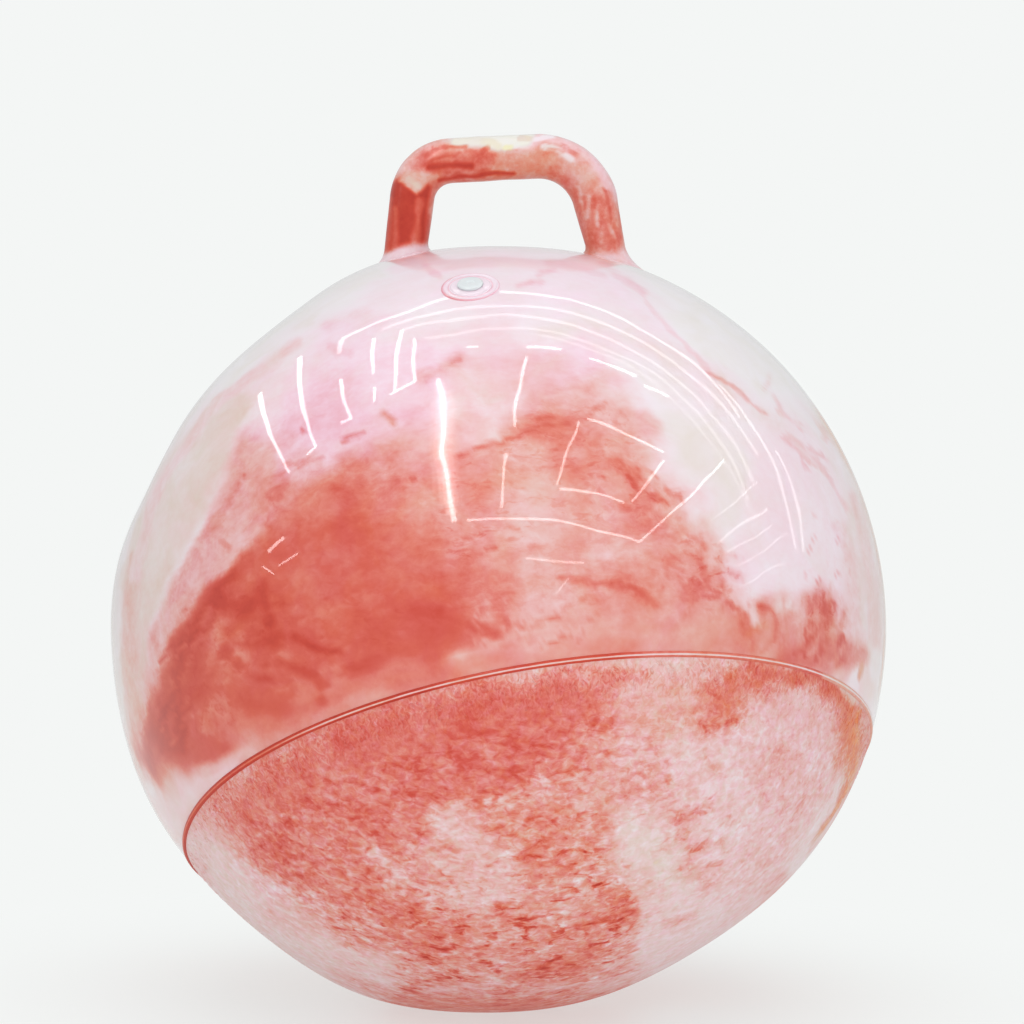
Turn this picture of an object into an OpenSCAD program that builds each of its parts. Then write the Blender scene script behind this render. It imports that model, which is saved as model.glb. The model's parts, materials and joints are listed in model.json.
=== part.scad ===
// Hopper ball: an inflated PVC ball with a moulded hand loop, a parting seam and a plugged air valve.
// The floor is at Z = 0, the ball stands on its pressed-flat patch, and the valve faces -Y.

/* [Ball] */
// Diameter of the inflated ball
ball_d = 450; // [380:10:650]
// Thickness of the moulded skin
skin_wall = 1; // [0.8:0.1:2]
// Radius of the patch that the ball's weight presses flat
rest_patch_r = 36; // [26:1:50]

/* [Seam] */
// Distance of the seam's plane below the ball's centre
seam_drop = 106; // [70:1:120]
// Slope of the seam's plane
seam_slope = 28.5; // [0:0.5:32]
// Direction that the seam sinks towards, turned from the ball's right side
seam_heading = 112; // [0:1:359]
// Diameter of the round bead along the seam
bead_d = 3.8; // [3:0.1:5]
// Height of the bead above the skin
bead_h = 0.8; // [0.4:0.1:1.2]

/* [Handle] */
// Outer diameter of the grip bar
grip_d = 26; // [22:0.5:32]
// Thickness of the handle's hollow wall
handle_wall = 1.6; // [1:0.1:3]
// Height of the grip bar's centreline above the ball's crown
bar_rise = 49.5; // [44:0.5:75]
// Distance between the legs' centrelines, level with the crown
leg_spread = 116; // [108:1:150]
// Slope of each leg towards the other
leg_splay = 10; // [0:0.5:14]
// Lean of the whole handle towards its left leg
handle_lean = 3.5; // [-5:0.5:5]
// Centreline radius of the left bend
left_bend_r = 24.5; // [18:0.5:34]
// Centreline radius of the right bend
right_bend_r = 34; // [18:0.5:36]
// Outer diameter of the left leg at the ball
left_leg_d = 24.8; // [18:0.2:30]
// Outer diameter of the right leg at the ball
right_leg_d = 22.4; // [18:0.2:30]
// How far the handle's feet spread out from its legs on the skin
foot_spread = 4; // [2:0.2:7]
// How far the feet climb the legs
foot_climb = 6; // [4:0.5:10]

/* [Valve] */
// Slope of the valve's axis from upright
valve_slope = 30; // [25:0.5:50]
// Direction that the valve faces, turned from the ball's right side
valve_heading = -99.5; // [-130:0.5:-60]
// Diameter of the round pad that shows in the skin
pad_d = 32; // [28:0.5:40]
// Thickness of the pad
pad_t = 2.4; // [2:0.1:4]
// Diameter of the flange bonded under the skin
flange_d = 44; // [42:0.5:56]
// Thickness of the bonded flange
flange_t = 1.2; // [0.8:0.1:2]
// Width of the lip round the pad
lip_w = 1.3; // [0.8:0.1:2]
// Height of the lip above the skin
lip_h = 0.5; // [0.3:0.1:1]
// Diameter of the boss round the bore
boss_d = 22; // [19:0.5:25]
// Height of the boss above the skin
boss_h = 0.7; // [0.5:0.1:1.2]
// Outer diameter of the barrel inside the ball
barrel_d = 17; // [14:0.5:20]
// Length of the barrel, from the ball's surface inwards
barrel_l = 15; // [12:0.5:20]
// Diameter of the bore that the plug fits
bore_d = 9; // [7:0.1:10]

/* [Plug] */
// Diameter of the plug's head
head_d = 14.6; // [12:0.1:18]
// Thickness of the plug's head
head_t = 1.9; // [1.4:0.1:3]
// Height of the sloped edge on top of the head
head_edge = 0.6; // [0.3:0.1:1]
// Length of the shank under the head
shank_l = 18; // [16:0.5:24]
// Length of the shank's tapered tip
tip_l = 4; // [2:0.5:5]
// Diameter at the end of the tip
tip_d = 6.6; // [5:0.1:6.8]
// Width of each groove round the shank
groove_w = 1.4; // [0.8:0.1:2]
// Depth of each groove
groove_depth = 0.45; // [0.2:0.05:0.8]
// Distance from one groove to the next
groove_pitch = 3.4; // [2.8:0.1:4]
// Depth of the shank's first groove below the head
groove_start = 4; // [3:0.1:6]
// Number of grooves
groove_count = 3; // [1:1:3]
// Diameter of the blind hole in the shank
core_d = 3.8; // [2:0.1:4]
// Thickness left between the blind hole and the head's top
core_floor = 2.6; // [2:0.1:4]

/* [Hidden] */
$fn = 96;
// Points round the handle's tube
tube_fn = 32;
// Steps of the curve that spreads each foot
foot_steps = 4;
// Steps round each bend
bend_steps = 8;
// Radial clearance of the plug in its bore, and its gap over the boss
plug_gap = 0.05;
// Gap that keeps the facets under the handle's feet clear of the round skin
seat_gap = 0.03;
// How far cutting shapes run past what they cut
overrun = 10;

ball_r = ball_d / 2;
inner_r = ball_r - skin_wall;
// Height of the ball's centre above the floor
centre_z = sqrt(pow(ball_r, 2) - pow(rest_patch_r, 2));

// Distance of the bead's centreline from the ball's centre, and its radius about the seam's axis
bead_reach = ball_r + bead_h - bead_d / 2;
bead_path_r = sqrt(pow(bead_reach, 2) - pow(seam_drop, 2));

grip_r = grip_d / 2;
left = -1;
right = 1;

bore_r = bore_d / 2;
shank_r = bore_r - plug_gap;
boss_top = ball_r + boss_h;
head_base = boss_top + plug_gap;

function leg_r(side) = (side == left ? left_leg_d : right_leg_d) / 2;
function bend_r(side) = side == left ? left_bend_r : right_bend_r;
// Length of centreline that a bend takes from the leg and from the bar
function bend_reach(side) = bend_r(side) * tan((90 - leg_splay) / 2);
// Half the bar's length between the points where the legs' lines meet it
bar_half = leg_spread / 2 - bar_rise * tan(leg_splay);
// Length of a leg's centreline from the crown's level to its bend
function leg_l(side) = bar_rise / cos(leg_splay) - bend_reach(side);

// Place of the ball's centre in a leg's own frame: how far inwards, and how far down the leg
function centre_inwards(side) =
    leg_spread / 2 * cos(leg_splay) + ball_r * sin(leg_splay + side * handle_lean);
function centre_down(side) =
    ball_r * cos(leg_splay + side * handle_lean) - leg_spread / 2 * sin(leg_splay);
// Height of the ball's surface along a leg, at a point out from the leg's centreline and to the back of it
function skin_level(side, out, back) =
    sqrt(pow(ball_r, 2) - pow(centre_inwards(side) + out, 2) - pow(back, 2)) - centre_down(side);
// A point in a leg's own frame, as a point in the handle's frame
function leg_point(side, out, back, up) = [
    side * (leg_spread / 2 + out * cos(leg_splay) - up * sin(leg_splay)),
    back,
    out * sin(leg_splay) + up * cos(leg_splay)];
// A ring of points round a leg that follows the ball's surface at a height above it
function skin_ring(side, radius, height) = [for (i = [0 : tube_fn - 1])
    let (out = radius * cos(360 * i / tube_fn), back = radius * sin(360 * i / tube_fn))
    leg_point(side, out, back, skin_level(side, out, back) + height)];
// A ring of points round a bend, where the tube has turned by an angle from upright
function bend_ring(side, radius, turn) = [for (i = [0 : tube_fn - 1])
    let (reach = bend_r(side) + radius * cos(360 * i / tube_fn))
    [side * (bar_half - bend_reach(side) + reach * cos(turn)),
     radius * sin(360 * i / tube_fn),
     bar_rise - bend_r(side) + reach * sin(turn)]];
function bend_rings(side, radius) = [for (i = [0 : bend_steps])
    bend_ring(side, radius, leg_splay + (90 - leg_splay) * i / bend_steps)];
// The rings of a leg's outside, from its end flush with the skin's inside up to the top of its foot.
// The foot's spread falls off along a quarter of an ellipse as it climbs the leg.
function foot_rings(side) = [
    skin_ring(side, leg_r(side), -skin_wall),
    skin_ring(side, leg_r(side), seat_gap),
    for (i = [0 : foot_steps])
        skin_ring(side, leg_r(side) + foot_spread * (1 - sin(90 * i / foot_steps)),
            seat_gap + foot_climb * (1 - cos(90 * i / foot_steps)))];
// The rings from a leg's end to the end of its bend, on the outside and in the hollow
function outer_rings(side) = concat(foot_rings(side), bend_rings(side, grip_r));
function hollow_rings(side) = concat(
    [skin_ring(side, leg_r(side) - handle_wall, -skin_wall)], bend_rings(side, grip_r - handle_wall));
function backwards(list) = [for (i = [len(list) - 1 : -1 : 0]) list[i]];

// Moves a shape from the ball's centre to its place above the floor.
module from_centre() {
    translate([0, 0, centre_z]) children();
}

// Turns a shape's Z axis into the seam's axis.
module along_seam_axis() {
    rotate([0, 0, seam_heading]) rotate([0, seam_slope, 0]) children();
}

// Turns a shape's Z axis into the valve's axis.
module along_valve_axis() {
    rotate([0, 0, valve_heading]) rotate([0, valve_slope, 0]) children();
}

// A ball whose lowest part is cut off flat, at the given depth below its centre.
module flat_footed_ball(radius, depth) {
    span = ball_r + overrun;
    intersection() {
        sphere(r = radius);
        translate([-span, -span, -depth]) cube([2 * span, 2 * span, depth + span]);
    }
}

// The whole skin of the ball, before it is parted and pierced.
module whole_skin() {
    difference() {
        flat_footed_ball(ball_r, centre_z);
        flat_footed_ball(inner_r, centre_z - skin_wall);
    }
}

// All space on the upper side of the seam.
module above_seam() {
    span = ball_r + overrun;
    along_seam_axis() translate([-span, -span, -seam_drop]) cube([2 * span, 2 * span, seam_drop + span]);
}

// The round bead that closes the parting line, centred on the seam's plane.
module bead_ring() {
    along_seam_axis() translate([0, 0, -seam_drop]) rotate_extrude()
        translate([bead_path_r, 0]) circle(d = bead_d);
}

// Places the handle's own frame at the crown, with its lean.
module at_crown() {
    translate([0, 0, ball_r]) rotate([0, -handle_lean, 0]) children();
}

// The round hole in the skin that a leg passes through.
module leg_hole(side) {
    at_crown() translate([side * leg_spread / 2, 0, 0]) rotate([0, -side * leg_splay, 0])
        translate([0, 0, -ball_r / 2]) cylinder(r = leg_r(side), h = ball_r / 2 + leg_l(side));
}

// A closed surface through a list of rings, in which the last ring joins the first.
module ring_surface(rings) {
    count = len(rings) * tube_fn;
    polyhedron(
        points = [for (ring = rings) each ring],
        faces = [for (k = [0 : len(rings) - 1], i = [0 : tube_fn - 1])
            let (a = k * tube_fn + i, b = k * tube_fn + (i + 1) % tube_fn,
                 c = (b + tube_fn) % count, d = (a + tube_fn) % count)
            each [[a, b, c], [a, c, d]]]);
}

module upper_skin() {
    color("pink") from_centre() difference() {
        intersection() {
            whole_skin();
            above_seam();
        }
        leg_hole(left);
        leg_hole(right);
        bead_ring();
        along_valve_axis() cylinder(d = pad_d, h = ball_r + overrun);
    }
}

module lower_skin() {
    color("indianred") from_centre() difference() {
        whole_skin();
        above_seam();
        bead_ring();
    }
}

module seam_bead() {
    color("firebrick") from_centre() bead_ring();
}

module handle() {
    color("salmon") from_centre() at_crown() ring_surface(concat(
        outer_rings(left), backwards(outer_rings(right)),
        hollow_rings(right), backwards(hollow_rings(left))));
}

// A round disc of the ball's wall about the valve's axis, between an outer and an inner ball radius.
module wall_disc(radius, outer, inner) {
    intersection() {
        difference() {
            sphere(r = outer);
            sphere(r = inner);
        }
        cylinder(r = radius, h = ball_r + overrun);
    }
}

module valve_bush() {
    pad_r = pad_d / 2;
    barrel_base = ball_r - barrel_l;
    color("mistyrose") from_centre() along_valve_axis() difference() {
        union() {
            wall_disc(pad_r, ball_r, ball_r - pad_t);
            wall_disc(flange_d / 2, inner_r, inner_r - flange_t);
            difference() {
                wall_disc(pad_r, ball_r + lip_h, ball_r - pad_t);
                cylinder(r = pad_r - lip_w, h = ball_r + overrun);
            }
            translate([0, 0, barrel_base]) cylinder(d = barrel_d, h = barrel_l - pad_t / 2);
            translate([0, 0, ball_r - pad_t / 2]) cylinder(d = boss_d, h = pad_t / 2 + boss_h);
        }
        translate([0, 0, barrel_base - overrun]) cylinder(r = bore_r, h = barrel_l + 2 * overrun);
    }
}

module valve_plug() {
    head_r = head_d / 2;
    shank_base = head_base - shank_l;
    color("whitesmoke") from_centre() along_valve_axis() difference() {
        union() {
            translate([0, 0, head_base]) cylinder(r = head_r, h = head_t - head_edge);
            translate([0, 0, head_base + head_t - head_edge])
                cylinder(r1 = head_r, r2 = head_r - head_edge, h = head_edge);
            translate([0, 0, shank_base + tip_l]) cylinder(r = shank_r, h = shank_l - tip_l);
            translate([0, 0, shank_base]) cylinder(r1 = tip_d / 2, r2 = shank_r, h = tip_l);
        }
        for (i = [0 : groove_count - 1])
            translate([0, 0, head_base - groove_start - i * groove_pitch - groove_w]) difference() {
                cylinder(r = bore_r + overrun, h = groove_w);
                cylinder(r = shank_r - groove_depth, h = groove_w);
            }
        translate([0, 0, shank_base - overrun])
            cylinder(d = core_d, h = shank_l + head_t - core_floor + overrun);
    }
}

upper_skin();
lower_skin();
seam_bead();
handle();
valve_bush();
valve_plug();
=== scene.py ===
"""Looks of the hopper ball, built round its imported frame: marbled vinyl, seam bead, hand loop and valve."""
import itertools
import json
import logging
import math
from dataclasses import dataclass
from enum import Enum
from functools import partial
from typing import Any, Callable, Iterable, Sequence

import bmesh
import bpy
import numpy as np
from mathutils import Matrix, Vector


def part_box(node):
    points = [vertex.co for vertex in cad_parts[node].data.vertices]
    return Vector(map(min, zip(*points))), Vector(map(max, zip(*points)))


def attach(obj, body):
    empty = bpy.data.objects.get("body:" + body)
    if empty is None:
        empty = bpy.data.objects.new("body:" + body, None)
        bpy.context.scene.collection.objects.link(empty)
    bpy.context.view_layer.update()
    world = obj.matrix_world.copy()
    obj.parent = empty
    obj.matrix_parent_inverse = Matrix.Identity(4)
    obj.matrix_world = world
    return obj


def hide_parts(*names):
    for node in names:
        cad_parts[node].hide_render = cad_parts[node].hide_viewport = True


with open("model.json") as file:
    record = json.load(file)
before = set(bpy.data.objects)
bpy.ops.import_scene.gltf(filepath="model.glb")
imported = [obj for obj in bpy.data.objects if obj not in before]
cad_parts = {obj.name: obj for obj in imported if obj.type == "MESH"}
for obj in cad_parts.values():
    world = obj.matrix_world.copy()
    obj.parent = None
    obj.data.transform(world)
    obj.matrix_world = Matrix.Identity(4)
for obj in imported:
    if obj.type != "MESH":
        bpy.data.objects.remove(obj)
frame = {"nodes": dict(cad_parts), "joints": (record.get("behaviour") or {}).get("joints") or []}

# Short names for the types that come up most
Array = np.ndarray
Adder = Callable[..., bpy.types.Node]
Material = bpy.types.Material
Mesh = bpy.types.Mesh
Piece = bpy.types.Object
Socket = bpy.types.NodeSocket
Tree = bpy.types.NodeTree

MM = 0.001
BALL_BODY = "ball"
PLUG_BODY = "plug"

# Odd factors that scramble a lattice corner and a seed into a random number
CORNER_FACTORS = (73856093, 19349663, 83492791)
SEED_FACTOR = 2654435
MIX_FACTORS = (1274126177, 668265263)

log = logging.getLogger("hopper_ball")


def linear_colour(hex_colour: str) -> tuple[float, float, float, float]:
    """Turns an sRGB hex colour, with its hash, into linear red, green, blue and full alpha."""
    parts = [int(hex_colour[i:i + 2], 16) / 255.0 for i in (1, 3, 5)]
    return (*[p / 12.92 if p <= 0.04045 else ((p + 0.055) / 1.055) ** 2.4 for p in parts], 1.0)


def add_node(tree: Tree, kind: str, links: dict[Any, Any] | None = None,
             **settings: Any) -> bpy.types.Node:
    """Adds a node with its settings, and links or sets its inputs.

    Args:
        tree: The tree that gets the node.
        kind: The node's type name.
        links: Input name or number, with what it gets: an output socket, a node for that node's
            first output, or a plain value.
        settings: Properties of the node itself.

    Returns:
        The new node.
    """
    node = tree.nodes.new(kind)
    for name, value in settings.items():
        setattr(node, name, value)
    for key, value in (links or {}).items():
        if isinstance(value, bpy.types.Node):
            value = value.outputs[0]
        if isinstance(value, Socket):
            tree.links.new(value, node.inputs[key])
        else:
            node.inputs[key].default_value = value
    return node


def lattice_noise(points: Array, cell: float, seed: int) -> Array:
    """Gives smooth random values from -1 to 1 that change over a length of about one cell.

    Args:
        points: Rows of three coordinates, in any unit.
        cell: The cell's length, in the same unit.
        seed: Picks one of many patterns.

    Returns:
        One value for each point.
    """
    scaled = points / cell
    corner = np.floor(scaled)
    fade = scaled - corner
    fade = fade * fade * (3.0 - 2.0 * fade)
    corner = corner.astype(np.int64)
    total = np.zeros(len(points))
    for step in itertools.product((0, 1), repeat=3):
        key = (corner + np.array(step)) @ np.array(CORNER_FACTORS) + seed * SEED_FACTOR
        key = ((key ^ (key >> 13)) * MIX_FACTORS[0]) & 0x7FFFFFFF
        key = ((key ^ (key >> 15)) * MIX_FACTORS[1]) & 0x7FFFFFFF
        weight = np.prod(np.where(np.array(step) == 1, fade, 1.0 - fade), axis=1)
        total += weight * ((key >> 7 & 0xFFFF) / 32767.5 - 1.0)
    return total


def cloud_noise(points: Array, cell: float, seed: int, layers: int = 3) -> Array:
    """Adds layers of lattice noise, each half as large and half as strong as the one before."""
    return sum(lattice_noise(points, cell / 2 ** i, seed + i) / 2 ** i for i in range(layers))


def drift(points: Array, reach: float, cell: float, seed: int) -> Array:
    """Gives moves by noise, which make drawn edges wander.

    Args:
        points: Rows of three coordinates.
        reach: The usual length of a move.
        cell: The length over which moves differ.
        seed: Picks one of many patterns.

    Returns:
        A move for each point.
    """
    moves = [cloud_noise(points, cell, seed + 17 * axis) for axis in range(3)]
    return reach * np.stack(moves, axis=1)


def ease(low: float, high: float, values: Array) -> Array:
    """Gives 0 below low, 1 above high, and a smooth rise between them."""
    share = np.clip((values - low) / (high - low), 0.0, 1.0)
    return share * share * (3.0 - 2.0 * share)


def ring_mesh(name: str, rings: Array, start: Sequence[float], end: Sequence[float]) -> Mesh:
    """Makes a smooth closed mesh through rings of points, with a pole at each end.

    Args:
        name: The mesh's name.
        rings: An array of rings by points by three coordinates.
        start: The pole that closes the first ring.
        end: The pole that closes the last ring.

    Returns:
        The mesh, with its faces outwards.
    """
    count, around, _ = rings.shape
    points = [*rings.reshape(-1, 3).tolist(), list(start), list(end)]
    here = np.arange(around)
    following = (here + 1) % around
    faces: list[list[int]] = []
    for k in range(count - 1):
        low, high = k * around, (k + 1) * around
        faces += np.stack([low + here, low + following, high + following, high + here], axis=1).tolist()
    last = (count - 1) * around
    faces += [[len(points) - 2, b, a] for a, b in zip(here.tolist(), following.tolist())]
    faces += [[len(points) - 1, last + a, last + b] for a, b in zip(here.tolist(), following.tolist())]
    mesh = bpy.data.meshes.new(name)
    mesh.from_pydata(points, [], faces)
    finish_mesh(mesh)
    return mesh


def finish_mesh(mesh: Mesh) -> None:
    """Turns a closed mesh's faces outwards and shades it smooth.

    Args:
        mesh: The mesh.
    """
    work = bmesh.new()
    work.from_mesh(mesh)
    bmesh.ops.recalc_face_normals(work, faces=work.faces)
    work.to_mesh(mesh)
    work.free()
    mesh.polygons.foreach_set("use_smooth", [True] * len(mesh.polygons))
    mesh.update()


def revolved_mesh(name: str, profile: Sequence[tuple[float, float]], place: Matrix,
                  around: int) -> Mesh:
    """Makes a closed mesh by turning a profile about an axis.

    Args:
        name: The mesh's name.
        profile: Radius and height pairs; the first and last lie on the axis.
        place: Takes the Z axis and origin to the axis of the piece.
        around: Points round the axis.

    Returns:
        The mesh, with its faces outwards.
    """
    turns = np.arange(around) * 2 * math.pi / around
    rings = np.array([[place @ Vector((r * math.cos(t), r * math.sin(t), h)) for t in turns]
                      for r, h in profile[1:-1]])
    first, last = (place @ Vector((0.0, 0.0, h)) for _, h in (profile[0], profile[-1]))
    return ring_mesh(name, rings, first, last)


def rounded(profile: Sequence[tuple[float, float]], reach: float,
            steps: int = 4) -> list[tuple[float, float]]:
    """Rounds the inner corners of a profile.

    Args:
        profile: Radius and height pairs.
        reach: How far from a corner its rounding starts.
        steps: Points along each rounding.

    Returns:
        A longer profile, with the same ends.
    """
    corners = [Vector(p) for p in profile]
    result = [tuple(profile[0])]
    for before, corner, after in zip(corners, corners[1:], corners[2:]):
        a = corner + (before - corner).normalized() * min(reach, (before - corner).length * 0.45)
        b = corner + (after - corner).normalized() * min(reach, (after - corner).length * 0.45)
        for i in range(steps + 1):
            t = i / steps
            result.append(tuple((1 - t) ** 2 * a + 2 * t * (1 - t) * corner + t * t * b))
    return [*result, tuple(profile[-1])]


def mesh_points(mesh: Mesh) -> Array:
    """Gives a mesh's vertices as rows of three coordinates.

    Args:
        mesh: The mesh.

    Returns:
        One row for each vertex.
    """
    flat = np.zeros(len(mesh.vertices) * 3)
    mesh.vertices.foreach_get("co", flat)
    return flat.reshape(-1, 3)


def store_values(mesh: Mesh, name: str, values: Array) -> None:
    """Keeps one number, or one vector, for each vertex in a named attribute.

    Args:
        mesh: The mesh.
        name: The attribute's name.
        values: Numbers, or rows of three.
    """
    vectors = values.ndim == 2
    attribute = mesh.attributes.get(name) or mesh.attributes.new(
        name, "FLOAT_VECTOR" if vectors else "FLOAT", "POINT")
    attribute.data.foreach_set("vector" if vectors else "value", values.astype(np.float32).ravel())


def read_values(mesh: Mesh, name: str) -> Array:
    """Gives the numbers that a named attribute holds, one for each vertex.

    Args:
        mesh: The mesh.
        name: The attribute's name.

    Returns:
        The numbers.
    """
    values = np.zeros(len(mesh.vertices))
    mesh.attributes[name].data.foreach_get("value", values)
    return values


def new_piece(name: str, mesh: Mesh, material: Material) -> Piece:
    """Puts a mesh with its material into the scene as an object at the origin.

    Args:
        name: The object's name.
        mesh: Its mesh.
        material: Its finish.

    Returns:
        The object.
    """
    mesh.materials.clear()
    mesh.materials.append(material)
    piece = bpy.data.objects.new(name, mesh)
    bpy.context.scene.collection.objects.link(piece)
    return piece


def start_material(name: str) -> tuple[Material, Adder, Socket]:
    """Starts a material, and gives it with its adder of nodes and the socket of places in the object.

    Args:
        name: The material's name.

    Returns:
        The material, its adder of nodes, and the socket of places in the object.
    """
    material = bpy.data.materials.new(name)
    material.use_nodes = True
    material.node_tree.nodes.clear()
    add = partial(add_node, material.node_tree)
    return material, add, add("ShaderNodeTexCoord").outputs["Object"]


def hardened(piece: Piece) -> None:
    """Turns a piece with modifiers into a plain mesh with the same shape, and drops the modifiers.

    Args:
        piece: The piece.
    """
    result = bpy.data.meshes.new_from_object(piece.evaluated_get(bpy.context.evaluated_depsgraph_get()))
    result.name = piece.name
    piece.modifiers.clear()
    piece.data = result


def node_modifier(piece: Piece, tree: Tree, values: dict[str, Any]) -> None:
    """Gives a piece a Geometry Nodes modifier, with its named inputs set through their identifiers.

    Args:
        piece: The piece.
        tree: The modifier's tree.
        values: What each named input gets.
    """
    modifier = piece.modifiers.new(tree.name, "NODES")
    modifier.node_group = tree
    for item in tree.interface.items_tree:
        if item.item_type == "SOCKET" and item.in_out == "INPUT" and item.name in values:
            modifier[item.identifier] = values[item.name]


def settle(piece: Piece, body: str, nodes: Iterable[str] = ()) -> None:
    """Lets a finished piece ride on its body and hides the nodes that it stands for.

    Args:
        piece: The finished piece.
        body: The body that it moves with.
        nodes: The nodes that it replaces.
    """
    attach(piece, body)
    if nodes:
        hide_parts(*nodes)
    log.info("%s: %d faces on %s", piece.name, len(piece.data.polygons), body)


@dataclass(frozen=True)
class Viewpoint:
    """The place that the photograph was taken from, and its frame.

    Lengths are in metres, angles in degrees, and the picture's own sizes in pixels. Places in the
    picture are given in millimetres right of and above the ball's centre, level with its outline.
    """

    centre: Vector
    radius: float
    distance: float = 1.8
    rise: float = 4.0
    roll: float = 0.7
    picture_px: float = 1024.0
    centre_px: tuple[float, float] = (500.0, 627.0)
    outline_px: float = 386.0
    sensor_mm: float = 36.0

    def axes(self) -> tuple[Vector, Vector, Vector]:
        """Gives the picture's right and up directions, and the one towards the camera.

        Returns:
            Three unit vectors.
        """
        rise, roll = math.radians(self.rise), math.radians(self.roll)
        towards = Vector((0.0, -math.cos(rise), math.sin(rise)))
        up = Vector((0.0, math.sin(rise), math.cos(rise)))
        right = Vector((1.0, 0.0, 0.0))
        return (math.cos(roll) * right + math.sin(roll) * up,
                math.cos(roll) * up - math.sin(roll) * right, towards)

    @property
    def place(self) -> Vector:
        """The camera's place."""
        return self.centre + self.distance * self.axes()[2]

    @property
    def scale(self) -> float:
        """The share of the distance that one metre of the picture spans at the camera."""
        return 1.0 / math.sqrt(self.distance ** 2 - self.radius ** 2)

    @property
    def focal_px(self) -> float:
        """The focal length in pixels at which the ball's outline has its photographed radius."""
        return self.outline_px / (self.radius * self.scale)

    def spots(self, points: Array) -> Array:
        """Gives where points are seen in the picture, as rows of right and up in millimetres.

        Args:
            points: Rows of three coordinates.

        Returns:
            One row for each point.
        """
        right, up, towards = (np.array(axis) for axis in self.axes())
        offsets = points - np.array(self.centre)
        depth = (self.distance - offsets @ towards) * self.scale
        return np.stack([offsets @ right, offsets @ up], axis=1) / depth[:, None] / MM

    def ray(self, right_mm: float, up_mm: float) -> Vector:
        """Gives the direction of sight through a place in the picture."""
        right, up, towards = self.axes()
        return ((right_mm * right + up_mm * up) * MM * self.scale - towards).normalized()

    def on_ball(self, right_mm: float, up_mm: float) -> Vector:
        """Finds the point of the ball's front that is seen at a place in the picture.

        Args:
            right_mm: How far right of the ball's centre it is.
            up_mm: How far above it.

        Returns:
            The point.
        """
        ray, start = self.ray(right_mm, up_mm), self.place - self.centre
        half = start.dot(ray)
        depth = half * half - start.length_squared + self.radius ** 2
        return self.place + ray * (-half - math.sqrt(max(depth, 0.0)))

    def behind(self, points: Array, reach: float = 0.55) -> Array:
        """Gives 0 for points of the ball that the camera sees, rising to 1 well round the back.

        Args:
            points: Rows of three coordinates.
            reach: How far past the outline it gets to 1.

        Returns:
            One share for each point.
        """
        offsets = points - np.array(self.centre)
        facing = offsets @ np.array(self.axes()[2]) / np.linalg.norm(offsets, axis=1)
        limb = self.radius / self.distance
        return ease(0.0, reach, limb - facing)


@dataclass(frozen=True)
class Swell:
    """A place where the inflated skin stands out of a true ball, or is drawn in.

    Attributes:
        turn: Degrees round from the ball's right side, with 90 at the back.
        rise: Degrees above the ball's middle.
        reach: Degrees over which it fades.
        height: Height in millimetres, below 0 where the skin is drawn in.
    """

    turn: float
    rise: float
    reach: float
    height: float


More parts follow.
